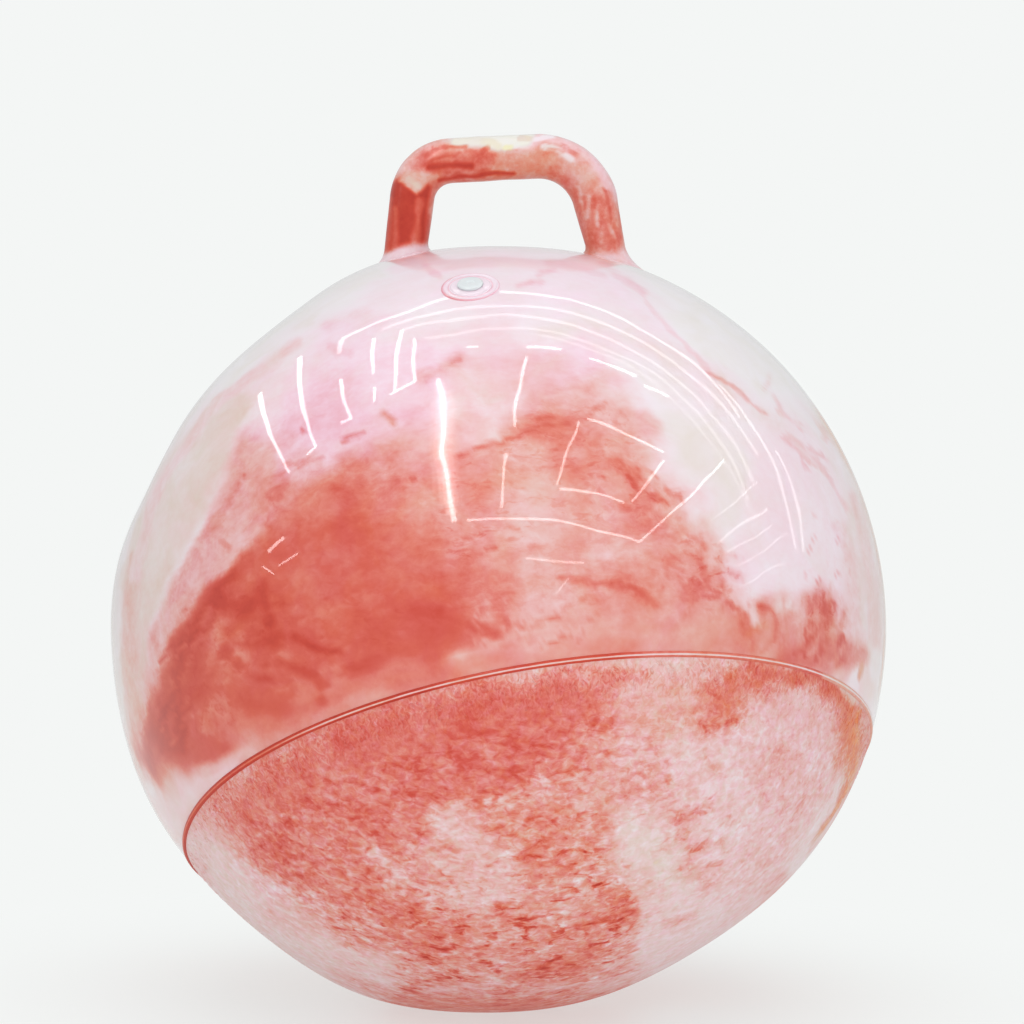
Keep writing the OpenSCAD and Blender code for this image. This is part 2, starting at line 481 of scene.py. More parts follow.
@dataclass(frozen=True)
class BallForm:
    """The ball's round form, with the seam and the valve on it, as the frame has them."""

    radius: float
    centre: Vector
    seam_axis: Vector
    seam_drop: float
    valve_axis: Vector
    wall: float = 1.0 * MM
    wobble: float = 0.10 * MM
    wobble_cell: float = 26.0 * MM
    groove_depth: float = 0.4 * MM
    groove_reach: float = 2.2 * MM
    calm_reach: float = 6.0
    floor_ease: float = 0.6 * MM
    swells: tuple[Swell, ...] = (
        Swell(187, 52, 11, -5.8), Swell(186, 37, 10, -3.4), Swell(186, 24, 9, -5.0),
        Swell(186, 3, 11, 1.4), Swell(186, -24, 16, 2.8), Swell(200, -68, 12, 2.8),
        Swell(-20, -56, 19, -5.2), Swell(-80, -79, 12, -1.4), Swell(0, 90, 12, -2.4), Swell(75, 5, 40, 1.5),
        Swell(110, 45, 22, -2.0), Swell(60, -40, 20, -2.5))

    @classmethod
    def from_frame(cls) -> "BallForm":
        """Reads the ball's sizes from the frame's own nodes and joint.

        Returns:
            The form.
        """
        low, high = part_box("upper_skin")
        radius = (high.x - low.x) / 2
        bead = mesh_points(frame["nodes"]["seam_bead"].data)
        centre = Vector((0.0, 0.0, high.z - radius))
        middle = bead.mean(axis=0)
        normal = Vector(np.linalg.svd(bead - middle, full_matrices=False)[2][2])
        normal *= 1.0 if normal.z > 0 else -1.0
        return cls(radius=radius, centre=centre, seam_axis=normal,
                   seam_drop=-(Vector(middle) - centre).dot(normal),
                   valve_axis=Vector(frame["joints"][0]["axis"]).normalized())

    @property
    def seam_angle(self) -> float:
        """The angle from the seam's axis to the seam, in radians."""
        return math.acos(-self.seam_drop / self.radius)

    def ways(self, points: Array) -> Array:
        """Gives the directions of points from the ball's centre."""
        offsets = points - np.array(self.centre)
        return offsets / np.linalg.norm(offsets, axis=1)[:, None]

    def below_seam(self, ways: Array) -> Array:
        """Gives how far below the seam directions meet the skin, along the skin, in metres."""
        angle = np.arccos(np.clip(ways @ np.array(self.seam_axis), -1.0, 1.0))
        return (angle - self.seam_angle) * self.radius

    def surface(self, ways: Array, depth: float = 0.0) -> Array:
        """Gives points on the skin.

        Args:
            ways: Unit vectors from the ball's centre.
            depth: How far under the surface the points lie.

        Returns:
            The points, none of them under the floor.
        """
        radii = np.full(len(ways), self.radius - depth)
        for swell in self.swells:
            turn, rise = math.radians(swell.turn), math.radians(swell.rise)
            towards = np.array([math.cos(rise) * math.cos(turn), math.cos(rise) * math.sin(turn),
                                math.sin(rise)])
            angle = np.degrees(np.arccos(np.clip(ways @ towards, -1.0, 1.0)))
            radii += swell.height * MM * np.exp(-(angle / swell.reach) ** 2)
        from_valve = np.degrees(np.arccos(np.clip(ways @ np.array(self.valve_axis), -1.0, 1.0)))
        calm = 1.0 - np.exp(-(from_valve / self.calm_reach) ** 4)
        radii += self.wobble * calm * cloud_noise(ways * self.radius, self.wobble_cell, seed=5, layers=2)
        radii -= self.groove_depth * np.exp(-(self.below_seam(ways) / self.groove_reach) ** 2)
        points = ways * radii[:, None] + np.array(self.centre)
        height = points[:, 2] - depth
        points[:, 2] = depth + (height + np.sqrt(height ** 2 + self.floor_ease ** 2)) / 2
        return points

    def fitted(self, points: Array, fade: float) -> Array:
        """Moves points that were placed about a true ball so that they follow the real skin.

        Args:
            points: The points.
            fade: Height above the skin at which points no longer follow it.

        Returns:
            The moved points.
        """
        ways = self.ways(points)
        height = np.linalg.norm(points - np.array(self.centre), axis=1) - self.radius
        shift = np.linalg.norm(self.surface(ways) - np.array(self.centre), axis=1) - self.radius
        return points + ways * (shift * (1.0 - ease(0.0, fade, height)))[:, None]

    def seam_ways(self, angle: float, turns: Array) -> Array:
        """Gives unit vectors at an angle from the seam's axis.

        Args:
            angle: The angle in radians.
            turns: Where each one lies about the axis, in radians, with 0 at the front.

        Returns:
            One unit vector for each turn.
        """
        across = self.seam_axis.cross(Vector((0.0, -1.0, 0.0))).normalized()
        along = across.cross(self.seam_axis)
        ring = np.cos(turns)[:, None] * np.array(along) + np.sin(turns)[:, None] * np.array(across)
        return math.cos(angle) * np.array(self.seam_axis) + math.sin(angle) * ring


# How strongly noise frays the edges of strokes, as a share of their soft edge
FRAY_SHARE = 0.24


@dataclass(frozen=True)
class Stroke:
    """A patch or streak of pigment in the marbling.

    Attributes:
        path: Places in the picture, in millimetres.
        tone: How red it leaves the skin, from 0 to 1.
        width: Half a streak's width, or how far a patch spreads past its outline.
        soft: The width over which it fades out.
        filled: Whether the path is the outline of a patch.
        warmth: -1 for a lilac pink, 0 for a cool pink, 1 for cream, 2 for amber, or None to leave it.
        flow: How strongly it covers what lies under it.
        on_skin: Whether its width is measured on the ball itself, as near the outline.
    """

    path: tuple[tuple[float, float], ...]
    tone: float
    width: float
    soft: float
    filled: bool
    warmth: float | None
    flow: float
    on_skin: bool = False

    def reach(self, path: Array, spots: Array) -> Array:
        """Gives how far places lie outside the stroke's edge, below 0 inside it.

        Args:
            path: The stroke's path.
            spots: The places.

        Returns:
            One distance for each place.
        """
        if len(path) == 1:
            return np.linalg.norm(spots - path[0], axis=1) - self.width
        ends = np.roll(path, -1, axis=0) if self.filled else path[1:]
        nearest = np.full(len(spots), np.inf)
        inside = np.zeros(len(spots), dtype=bool)
        for a, b in zip(path, ends):
            along = np.clip((spots - a) @ (b - a) / max((b - a) @ (b - a), 1e-9), 0.0, 1.0)
            nearest = np.minimum(nearest, np.linalg.norm(spots - a - along[:, None] * (b - a), axis=1))
            if self.filled and a[1] != b[1]:
                crosses = (a[1] > spots[:, 1]) != (b[1] > spots[:, 1])
                edge = a[0] + (b[0] - a[0]) * (spots[:, 1] - a[1]) / (b[1] - a[1])
                inside ^= crosses & (spots[:, 0] < edge)
        return np.where(inside, -nearest, nearest) - self.width

    def cover(self, path: Array, spots: Array, fray: Array, blur: Array) -> Array:
        """Gives how much of the stroke's pigment lies at each place.

        Args:
            path: The stroke's path, in the picture or on the ball.
            spots: Places in the picture or on the ball, as the path.
            fray: Noise about 0 that moves the edge in and out.
            blur: How many times wider than usual the edge fades out.

        Returns:
            One share for each place, from 0 to the stroke's flow.
        """
        margin = self.width + 2.0 * self.soft
        near = ((spots > path.min(axis=0) - margin) & (spots < path.max(axis=0) + margin)).all(axis=1)
        cover = np.zeros(len(spots))
        soft = self.soft * blur[near]
        share = 0.5 + self.reach(path, spots[near]) / soft + FRAY_SHARE * fray[near]
        cover[near] = self.flow * (1.0 - ease(0.0, 1.0, share))
        return cover


def spots_of(numbers: Sequence[float]) -> tuple[tuple[float, float], ...]:
    """Gives places in the picture from how far right and up each one lies, in turn."""
    return tuple(zip(numbers[::2], numbers[1::2]))


def patches(*rows: tuple[float, ...], flow: float = 1.0) -> list[Stroke]:
    """Describes patches by rows of tone, soft edge, warmth, and right and up of each corner."""
    return [Stroke(spots_of(outline), tone, 0.0, soft, True, warmth, flow)
            for tone, soft, warmth, *outline in rows]


def streaks(*rows: tuple[float, ...], warmth: float | None = None) -> list[Stroke]:
    """Describes soft streaks by rows of tone, half the width, flow, and right and up of each place."""
    return [Stroke(spots_of(path), tone, width * 0.75, width, False, warmth, flow)
            for tone, width, flow, *path in rows]


def veins(*rows: tuple[float, ...]) -> list[Stroke]:
    """Describes streaks, by rows with the warmth before the flow, whose width lies on the ball."""
    return [Stroke(spots_of(path), tone, width * 0.75, width, False, warmth, flow, True)
            for tone, width, warmth, flow, *path in rows]


def scatter(tone: float, seed: int, count: int, centre: tuple[float, float], spread: tuple[float, float],
            length: float, tilt: float, width: float = 2.2, flow: float = 0.8) -> list[Stroke]:
    """Strews short streaks about a place.

    Args:
        tone: Their tone.
        seed: Picks one of many patterns.
        count: How many there are.
        centre: The middle of the area, in the picture.
        spread: Half its width and height.
        length: The usual length of a streak.
        tilt: The slope of the streaks, in degrees.
        width: Half their width.
        flow: How strongly they cover.

    Returns:
        The streaks.
    """
    rng = np.random.default_rng(seed)
    made = []
    for _ in range(count):
        x, y = np.array(centre) + rng.uniform(-1, 1, 2) * spread
        turn = math.radians(tilt + rng.normal(0, 16))
        half = length * rng.uniform(0.25, 0.8)
        ends = [value for way in (-1, 1)
                for value in (x + way * half * math.cos(turn), y + way * half * math.sin(turn))]
        made += streaks((tone, width * rng.uniform(0.6, 1.2), flow * rng.uniform(0.5, 1), *ends))
    return made


def scatters(*rows: tuple[Any, ...]) -> list[Stroke]:
    """Strews short streaks about several places, by rows of what scatter takes."""
    return [stroke for row in rows for stroke in scatter(*row)]


@dataclass(frozen=True)
class Marbling:
    """Pigment strokes laid over each other, kept as numbers on a piece's vertices.

    Attributes:
        view: The picture that places the strokes.
        tone: The tone under all strokes.
        warmth: The warmth under all strokes.
        strokes: The strokes, in the order that they are laid.
        back_tone: The usual tone of the back, which the picture doesn't show.
        back_swing: How far the back's tones stray from it.
        seed: Picks one of many patterns.
        broad_over: Half the width from which a streak wanders as a patch does.
        specks: Areas with separate flecks, whose tones say how many.
        speck_floor: How many such flecks there are elsewhere.
        tone_cloud: How far broad clouds change the tone under all strokes.
        warmth_cloud: How far they change the warmth there.
        blur_span: How soft edges are at their sharpest, and how much softer they get.
        back_grain: How far fine grain changes the back's tones.
        back_warmth: The usual warmth of the back, and how far it strays.
    """

    view: Viewpoint
    tone: float
    warmth: float
    strokes: Sequence[Stroke]
    back_tone: float = 0.4
    back_swing: float = 0.55
    seed: int = 3
    broad_over: float = 9.0
    specks: Sequence[Stroke] = ()
    speck_floor: float = 0.0
    tone_cloud: float = 0.035
    warmth_cloud: float = 0.2
    blur_span: tuple[float, float] = (0.6, 1.3)
    back_grain: float = 0.12
    back_warmth: tuple[float, float] = (0.35, 0.4)

    def speckle(self, mesh: Mesh, spots: Array, fray: Array, blur: Array) -> None:
        """Keeps how many separate flecks each place has, as the attribute specks.

        Args:
            mesh: The piece's mesh.
            spots: The vertices in the picture.
            fray: As for a stroke.
            blur: As for a stroke.
        """
        share = np.full(len(spots), self.speck_floor)
        for area in self.specks:
            share += area.cover(np.array(area.path), spots, fray, blur) * (area.tone - share)
        store_values(mesh, "specks", share)

    def paint(self, mesh: Mesh, round_back: bool = True) -> None:
        """Works out the pigment of every vertex and keeps it as the attributes pigment and warmth.

        Args:
            mesh: The piece's mesh.
            round_back: Whether the back gets marbling of its own.
        """
        points = mesh_points(mesh)
        places = points / MM
        spots = self.view.spots(points)
        broad_wander = drift(places, reach=3.2, cell=42.0, seed=self.seed)
        broad_wander += drift(places, reach=1.5, cell=15.0, seed=self.seed + 60)
        loose = spots + broad_wander[:, :2]
        tight = spots + drift(places, reach=1.1, cell=9.0, seed=self.seed + 90)[:, :2]
        frayed = places + drift(places, reach=6.0, cell=26.0, seed=self.seed + 100)
        fray = cloud_noise(frayed, cell=22.0, seed=self.seed + 110)
        haze = cloud_noise(places, cell=30.0, seed=self.seed + 130, layers=2)
        blur = self.blur_span[0] + self.blur_span[1] * ease(-0.7, 0.7, haze)
        tone = self.tone + self.tone_cloud * cloud_noise(places, cell=40.0, seed=self.seed + 120)
        warmth = self.warmth + self.warmth_cloud * cloud_noise(
            places, cell=90.0, seed=self.seed + 150, layers=2)
        for stroke in self.strokes:
            if stroke.on_skin:
                path = np.array([self.view.on_ball(*spot) / MM for spot in stroke.path])
                cover = stroke.cover(path, frayed, fray, blur)
            else:
                broad = stroke.filled or stroke.width > self.broad_over
                cover = stroke.cover(np.array(stroke.path), loose if broad else tight, fray, blur)
            tone = tone + cover * (stroke.tone - tone)
            if stroke.warmth is not None:
                warmth = warmth + cover * (stroke.warmth - warmth)
        self.speckle(mesh, loose, fray, blur)
        if round_back:
            behind = self.view.behind(points)
            swirl = places + drift(places, reach=26.0, cell=120.0, seed=self.seed + 200)
            swirl += drift(places, reach=9.0, cell=30.0, seed=self.seed + 230)
            cloud = cloud_noise(swirl, cell=120.0, seed=self.seed + 260, layers=4)
            back = self.back_tone + self.back_swing * (ease(-0.35, 0.35, cloud) - 0.5)
            along = swirl * (1.0, 1.0, 0.4)
            back += self.back_grain * cloud_noise(along, cell=16.0, seed=self.seed + 290)
            tone = tone + behind * (back - tone)
            hue = cloud_noise(places, cell=80.0, seed=self.seed + 320, layers=2)
            warmth = warmth + behind * (self.back_warmth[0] + self.back_warmth[1] * hue - warmth)
        store_values(mesh, "pigment", np.clip(tone, 0.0, 1.0))
        store_values(mesh, "warmth", np.clip(warmth, -1.0, 2.0))


UPPER_STROKES = (
    # Lilac shoulders and crown; their pale tone is partly a painted reflection of the bright room above
    *patches((0.15, 40, -0.8, -120, 150, -60, 180, 60, 185, 120, 150, 60, 235, -80, 235),
        (0.05, 14, 0.2, 62, 218, 82, 196, 105, 166, 135, 143, 160, 128, 200, 110, 150, 215, 90, 225),
        (0.06, 14, 0.2, -196, 125, -150, 146, -120, 168, -60, 205, -75, 225, -170, 190)),
    *streaks((0.14, 12, 1, -50, 208, -10, 212, 40, 210), warmth=-0.6),
    # The pink haze over the upper left
    *patches((0.22, 34, -1, -140, 108, -124, 148, -90, 170, -40, 176, 60, 168, 70, 145, 20, 120, -50, 118,
         -100, 112),
        (0.29, 30, -0.9, -138, 84, -128, 128, -98, 150, -66, 140, -50, 112, -80, 92, -110, 80),
        (0.27, 24, 0.1, -34, 92, -30, 150, 10, 166, 40, 160, 30, 140, 0, 118),
        (0.36, 26, -0.1, -80, 84, -70, 108, -40, 118, -16, 116, 0, 98, -10, 80),
        (0.36, 14, -0.6, -176, 32, -168, 62, -158, 90, -147, 117, -128, 122, -104, 98, -128, 62, -150, 40,
         -166, 20)),
    # Cream on the left, with its crisp inner edge, and painted rim light along the outline
    *patches((0.2, 5, 0.65, -214, -90, -206, -40, -203, 0, -192, 30, -178, 56, -166, 74, -156, 100, -149,
         118, -140, 138, -160, 136, -190, 100, -212, 60, -226, 0, -222, -60),
        (0.38, 6, 0, -207, -40, -203, -4, -192, 26, -177, 52, -165, 72, -155, 96, -147, 114, -128, 100,
         -136, 62, -154, 34, -172, 6, -186, -20, -198, -60)),
    *patches((0.15, 16, 0.55, -203, 80, -180, 108, -158, 128, -166, 90, -190, 40, -208, 30),
        (0.33, 14, 0.5, -204, -30, -214, -14, -219, -60, -214, -96, -204, -104, -204, -70), flow=0.8),
    *streaks((0.36, 5, 0.9, -212, 40, -216, 14, -216, -14, -214, -40, -209, -62), warmth=0.6),
    # Painted rim light: a pale greyish line along the left outline, where the skin is seen edge-on
    *streaks((0.12, 2.4, 0.8, -222, 20, -223, -20, -219.5, -50, -213, -76), warmth=0.3),
    *streaks((0.24, 4, 1, -212, 30, -204, 70, -190, 96, -165, 131, -138, 152, -118, 166), warmth=0),
    # The main red mass on the left, which pales towards the middle
    *patches((0.57, 34, 0.1, -140, 52, -126, 74, -104, 92, -64, 98, -24, 86, 14, 60, 30, 30, 16, 4, -10,
         -14, -60, -28, -120, -50),
        (0.46, 30, 0.1, -30, 10, -30, 80, 0, 92, 30, 98, 60, 84, 92, 66, 118, 58, 132, 28, 140, 0, 120, -8,
         60, -8, 10, -6),
        (0.69, 32, 0.25, -150, 34, -132, 54, -104, 68, -70, 66, -40, 46, -18, 20, -24, -8, -60, -30, -110,
         -46, -150, -62),
        (0.71, 13, 0.3, -138, 54, -152, 42, -165, 26, -178, 6, -188, -6, -194, -20, -198, -35, -206, -50,
         -210, -65, -207, -80, -197, -91, -182, -84, -160, -76, -140, -65, -124, -50, -126, -10, -120, 30,
         -124, 48)),
    # The red middle
    *patches((0.36, 26, 0.3, 2, 48, -4, 92, 20, 104, 42, 98, 46, 62, 30, 44),
        (0.44, 22, 0.15, -18, 98, 4, 112, 20, 122, 28, 146, 54, 150, 80, 134, 92, 118, 92, 92, 100, 84,
         113, 80, 108, 70, 118, 56, 126, 44, 100, 36, 70, 52, 46, 84, 20, 96),
        (0.6, 16, 0.2, 2, 112, 24, 124, 46, 126, 66, 131, 52, 118, 24, 112),
        (0.36, 22, 0.2, 62, 106, 80, 104, 90, 88, 80, 76, 64, 84),
        (0.11, 12, 0.45, 94, 128, 99, 98, 114, 84, 128, 80, 126, 62, 134, 48, 142, 62, 146, 92, 132, 112,
         112, 126)),
    # Deep places in the red
    *patches((0.92, 13, 0.3, -156, 34, -168, 22, -178, 4, -188, -10, -186, -20, -176, -10, -166, 4, -150,
         22),
        (0.96, 13, 0.6, -184, -10, -194, -28, -201, -48, -206, -66, -200, -84, -188, -72, -183, -46, -176,
         -24)),
    *streaks((0.88, 9, 0.8, -172, -18, -179, -40), warmth=0.4),
    *streaks((0.92, 6, 1, -192, -52, -190, -68), (0.9, 5, 1, -151, 8, -146, 14),
        (0.88, 3.2, 1, -138, 26, -138, 14, -134, 2), (0.86, 6, 1, -150, -8, -132, -9),
        (0.88, 3, 1, -120, -6, -106, -13, -92, -14), (0.84, 3.4, 1, -128, -20, -108, -28)),
    *streaks((0.76, 12, 0.4, -84, 10, -52, 6, -30, 3), warmth=0.1),
    *streaks((0.84, 4, 0.6, -50, 10, -30, 7, -12, 1, -2, -4), (0.7, 16, 0.5, -76, 34, -50, 26),
        (0.78, 4, 1, -152, -44, -122, -50, -96, -42), (0.66, 2.6, 0.5, -96, 80, -90, 78),
        (0.84, 5, 1, -150, -22, -162, -14), (0.8, 4, 1, -108, -34, -90, -26, -70, -20),
        (0.84, 3, 1, -160, 22, -152, 20), (0.86, 3, 1, -142, -30, -126, -32)),
    # Paler places in it
    *streaks((0.55, 10, 0.8, -164, -46, -146, -58), (0.58, 7, 0.8, -126, -34, -112, -38),
        (0.56, 4.5, 0.5, -163, -4, -170, -20), (0.58, 6, 0.6, -154, 22, -146, 29),
        (0.54, 5, 0.8, -172, -58, -152, -68), (0.56, 5, 0.4, -158, 6, -150, -6),
        (0.58, 5, 0.4, -150, -16, -140, -26), (0.56, 3, 0.4, -196, -16, -192, -32),
        (0.56, 8, 0.7, -96, -40, -60, -26), (0.55, 6, 0.6, -100, -26, -84, -32),
        (0.36, 10, 0.8, 14, 58, 24, 50), (0.4, 6, 0.8, -8, 38, 12, 34), (0.42, 7, 0.8, 46, 42, 62, 44),
        (0.4, 6, 0.8, 12, 4, 34, 12)),
    *streaks((0.53, 17, 0.5, -23, 62, -20, 36, -16, 16), warmth=0.1),
    *streaks((0.46, 6, 0.8, 6, -6, 26, -12, 44, -12), (0.4, 3, 0.4, -18, 16, -8, 6),
        (0.44, 8, 1, 50, 6, 72, 2, 90, 4), (0.44, 5, 0.8, 112, 44, 116, 34),
        (0.38, 6, 0.7, 70, 128, 90, 118), (0.4, 7, 0.7, 6, 80, 22, 92)),
    # The pale band above the seam, redder where it meets the bead
    *patches((0.45, 16, 0.2, -200, -98, -182, -86, -160, -76, -140, -64, -110, -52, -80, -38, -50, -27,
         -20, -20, 20, -9, 80, 0, 140, 2, 150, -20, 80, -30, 0, -45, -120, -90, -190, -125),
        (0.24, 8, 0.1, -196, -98, -182, -90, -164, -80, -150, -74, -150, -84, -172, -100, -184, -120, -192,
         -116)),
    *streaks((0.42, 4, 0.6, -150, -84, -110, -61, -70, -44, -30, -34, 20, -24, 80, -17),
        (0.56, 6, 0.5, -60, -32, -20, -22, 10, -14), (0.48, 6, 0.6, 96, -12, 136, -14)),
    # Veins and dashes in the middle
    *streaks((0.68, 1.8, 0.8, -2, 107, 12, 112, 24, 117, 40, 118), (0.7, 2.4, 0.8, 22, 121, 32, 122),
        (0.58, 1.8, 0.8, -24, 100, -10, 105, -2, 108), (0.66, 2, 0.7, 48, 121, 62, 131),
        (0.58, 6, 0.7, 68, 96, 76, 90), (0.74, 2.2, 0.7, 88, 76, 98, 72), (0.7, 2, 0.7, 70, 70, 80, 68),
        (0.66, 2, 0.7, 97, 80, 106, 75), (0.66, 1.7, 0.7, 5, 57, 10, 58), (0.7, 1.7, 0.8, -8, 45, -2, 46),
        (0.66, 1.6, 0.7, -20, 51, -15, 50), (0.6, 2, 0.6, 18, 46, 24, 45),
        (0.68, 2.2, 0.75, 36, 28, 60, 26, 78, 23, 92, 12), (0.72, 2, 0.8, -2, 5, 3, 4, 5, 0),
        (0.62, 2, 1, 22, 2, 34, 6), (0.6, 2, 1, 28, -10, 40, -6), (0.66, 2.4, 0.7, 112, 52, 118, 49),
        (0.72, 2.4, 0.7, 120, 18, 128, 19), (0.66, 2, 0.6, 116, 42, 120, 32, 122, 24),
        (0.64, 1.8, 0.6, 126, 34, 130, 24), (0.58, 6, 0.6, 100, 42, 104, 30, 112, 20),
        (0.74, 2.4, 0.7, 134, 32, 142, 29), (0.66, 2, 0.6, 128, 40, 136, 42),
        (0.64, 2, 0.6, 133, 15, 140, 8), (0.58, 14, 0.5, 80, 60, 100, 56),
        (0.58, 16, 0.4, 70, 10, 100, 12)),
    # Spots on the upper left
    *streaks((0.6, 2.8, 0.7, -68, 124, -62, 119), warmth=0.5),
    *streaks((0.54, 1.8, 1, -92, 108, -80, 114), (0.56, 2.6, 0.8, -124, 95, -104, 98),
        (0.54, 2, 0.8, -136, 84, -126, 90), (0.58, 1.8, 1, -150, 88), (0.54, 2, 1, -162, 66, -153, 84),
        (0.68, 2.2, 1, -50, 86), (0.52, 2.6, 1, -115, 114)),
    *streaks((0.44, 6, 0.7, -46, 145, -34, 151, -24, 157), warmth=-0.1),
    *streaks((0.54, 2, 0.6, -36, 150, -24, 156)),
    *streaks((0.32, 4, 0.6, -98, 163, -88, 160), warmth=-0.8),
    *streaks((0.46, 2, 0.6, -44, 144, -36, 150)),
    # Lines through the left cream
    *streaks((0.36, 2, 0.6, -196, 10, -202, -14, -206, -40, -208, -60), warmth=0.1),
    *streaks((0.42, 3, 0.5, -160, 80, -172, 56, -186, 30, -196, 0), warmth=-0.1),
    *streaks((0.5, 2.4, 1, -163, 50, -158, 46)),
    *streaks((0.44, 2.2, 0.6, -150, 96, -160, 70, -176, 44, -186, 20), warmth=-0.1),
    # The right side: mottles, the red patch and the orange rim
    *patches((0.15, 18, -0.4, 140, 30, 150, 110, 175, 130, 205, 80, 214, 30, 200, 0, 160, 20),
        (0.48, 12, 0.3, 138, 6, 148, 16, 160, 14, 174, 14, 182, 0, 178, -18, 150, -20, 136, -12),
        (0.58, 11, 0.1, 178, 0, 183, 13, 188, 20, 193, 16, 197, 4, 204, -7, 213, -13, 212, -26, 186, -28,
         160, -22, 168, -8)),
    *streaks((0.46, 3, 0.6, 181, 14, 184, 6), (0.7, 3, 0.5, 186, 16, 194, 2, 203, -12),
        (0.72, 3, 0.6, 184, -12, 200, -20), (0.68, 2.2, 0.7, 172, -16, 182, -10),
        (0.68, 1.6, 0.75, 152, 12, 158, 9, 161, 2, 160, -8), (0.6, 1.6, 0.6, 141, 2, 146, -6),
        (0.6, 1.8, 0.6, 152, -14, 158, -8), (0.56, 1.8, 0.6, 167, 16, 168, 4)),
    *streaks((0.52, 2.4, 0.6, 146, -4, 154, 1), warmth=1.2),
    *streaks((0.54, 2.4, 0.6, 163, -4, 168, -8), (0.22, 4, 1, 163, 12, 170, 14),
        (0.22, 3, 1, 142, 16, 148, 8, 150, 2)),
    *streaks((0.24, 1.6, 0.8, 58, 213, 80, 200, 90, 185, 105, 168, 122, 150), warmth=-0.5),
    *streaks((0.42, 1.2, 0.7, 122, 149, 136, 141, 146, 130, 156, 124),
        (0.36, 1.4, 0.7, 155, 138, 158, 147), (0.3, 1.4, 0.7, 160, 136, 164, 125, 176, 117),
        (0.3, 1.5, 0.8, 166, 109, 180, 99, 194, 85), (0.28, 1.6, 0.8, 185, 96, 198, 78, 208, 58, 212, 40),
        (0.28, 1.6, 0.7, 176, 106, 190, 92), (0.24, 3, 1, 196, 60, 204, 40, 210, 20),
        (0.38, 4, 0.7, 206, 76, 212, 52), (0.3, 1.8, 1, 212, 36, 214, 20)),
    *streaks((0.3, 3, 0.5, 28, 213, 44, 211, 60, 206), (0.32, 2, 0.6, 18, 203, 24, 202),
        (0.34, 1.4, 0.6, 10, 199, 18, 202), (0.3, 1.6, 0.6, 22, 206, 32, 209),
        (0.24, 3, 1, 60, 212, 84, 196), (0.24, 3, 1, -36, 206, -44, 212),
        (0.22, 5, 1, -100, 176, -80, 182), warmth=-0.7),
    *scatters((0.46, 21, 12, (188, 46), (16, 24), 2.6, 60, 1.2),
        (0.34, 22, 12, (180, 104), (14, 12), 6, -48, 1.2),
        (0.58, 23, 22, (158, -2), (18, 16), 5, 76, 1.4, 0.6),
        (0.46, 26, 16, (30, 0), (34, 12), 9, 34, 1.8, 0.6),
        (0.62, 28, 16, (24, 6), (36, 14), 9, 34, 1.6, 0.6),
        (0.34, 51, 26, (14, 4), (32, 14), 5, -50, 1.3, 0.5),
        (0.62, 52, 18, (10, 2), (26, 14), 5, 40, 1.3, 0.6),
        (0.84, 27, 22, (-150, -10), (34, 30), 7, 30, 1.8, 0.6),
        (0.6, 29, 22, (-152, -24), (36, 34), 8, 36, 2, 0.6),
        (0.6, 31, 16, (-188, -40), (9, 28), 8, 68, 1.4, 0.5),
        (0.58, 32, 16, (-166, -10), (14, 14), 8, 52, 1.8, 0.5),
        (1, 33, 16, (-190, -44), (8, 30), 9, 66, 1.6, 0.5),
        (0.82, 30, 24, (188, -4), (13, 18), 6, 62, 1.4, 0.7),
        (0.46, 45, 22, (190, -2), (16, 20), 6, 66, 1.4, 0.7),
        (0.62, 46, 20, (112, 30), (20, 26), 6, 60, 1.6, 0.6),
        (0.76, 47, 16, (-84, -12), (34, 20), 9, 14, 1.6, 0.5),
        (0.7, 48, 14, (76, 92), (18, 18), 4, -40, 1.4, 0.7)),
    *patches((0.24, 10, 0.2, 200, 60, 204, 10, 206, -8, 212, -16, 226, -20, 228, 40, 216, 80)),
    *streaks((0.14, 3, 0.7, 205, 66, 211, 30, 213, 0), warmth=0.3),
    *veins((0.5, 18, 1.6, 0.85, 192, 116, 208, 85, 218.5, 53, 223.8, 24),
        (0.46, 14, 1.5, 0.85, 223.8, 24, 224.4, -4, 223.6, -16), (0.24, 12, 0.4, 0.85, 213, -32, 218, -40),
        (0.58, 6.5, 1.5, 0.8, 210.5, -24)),
)

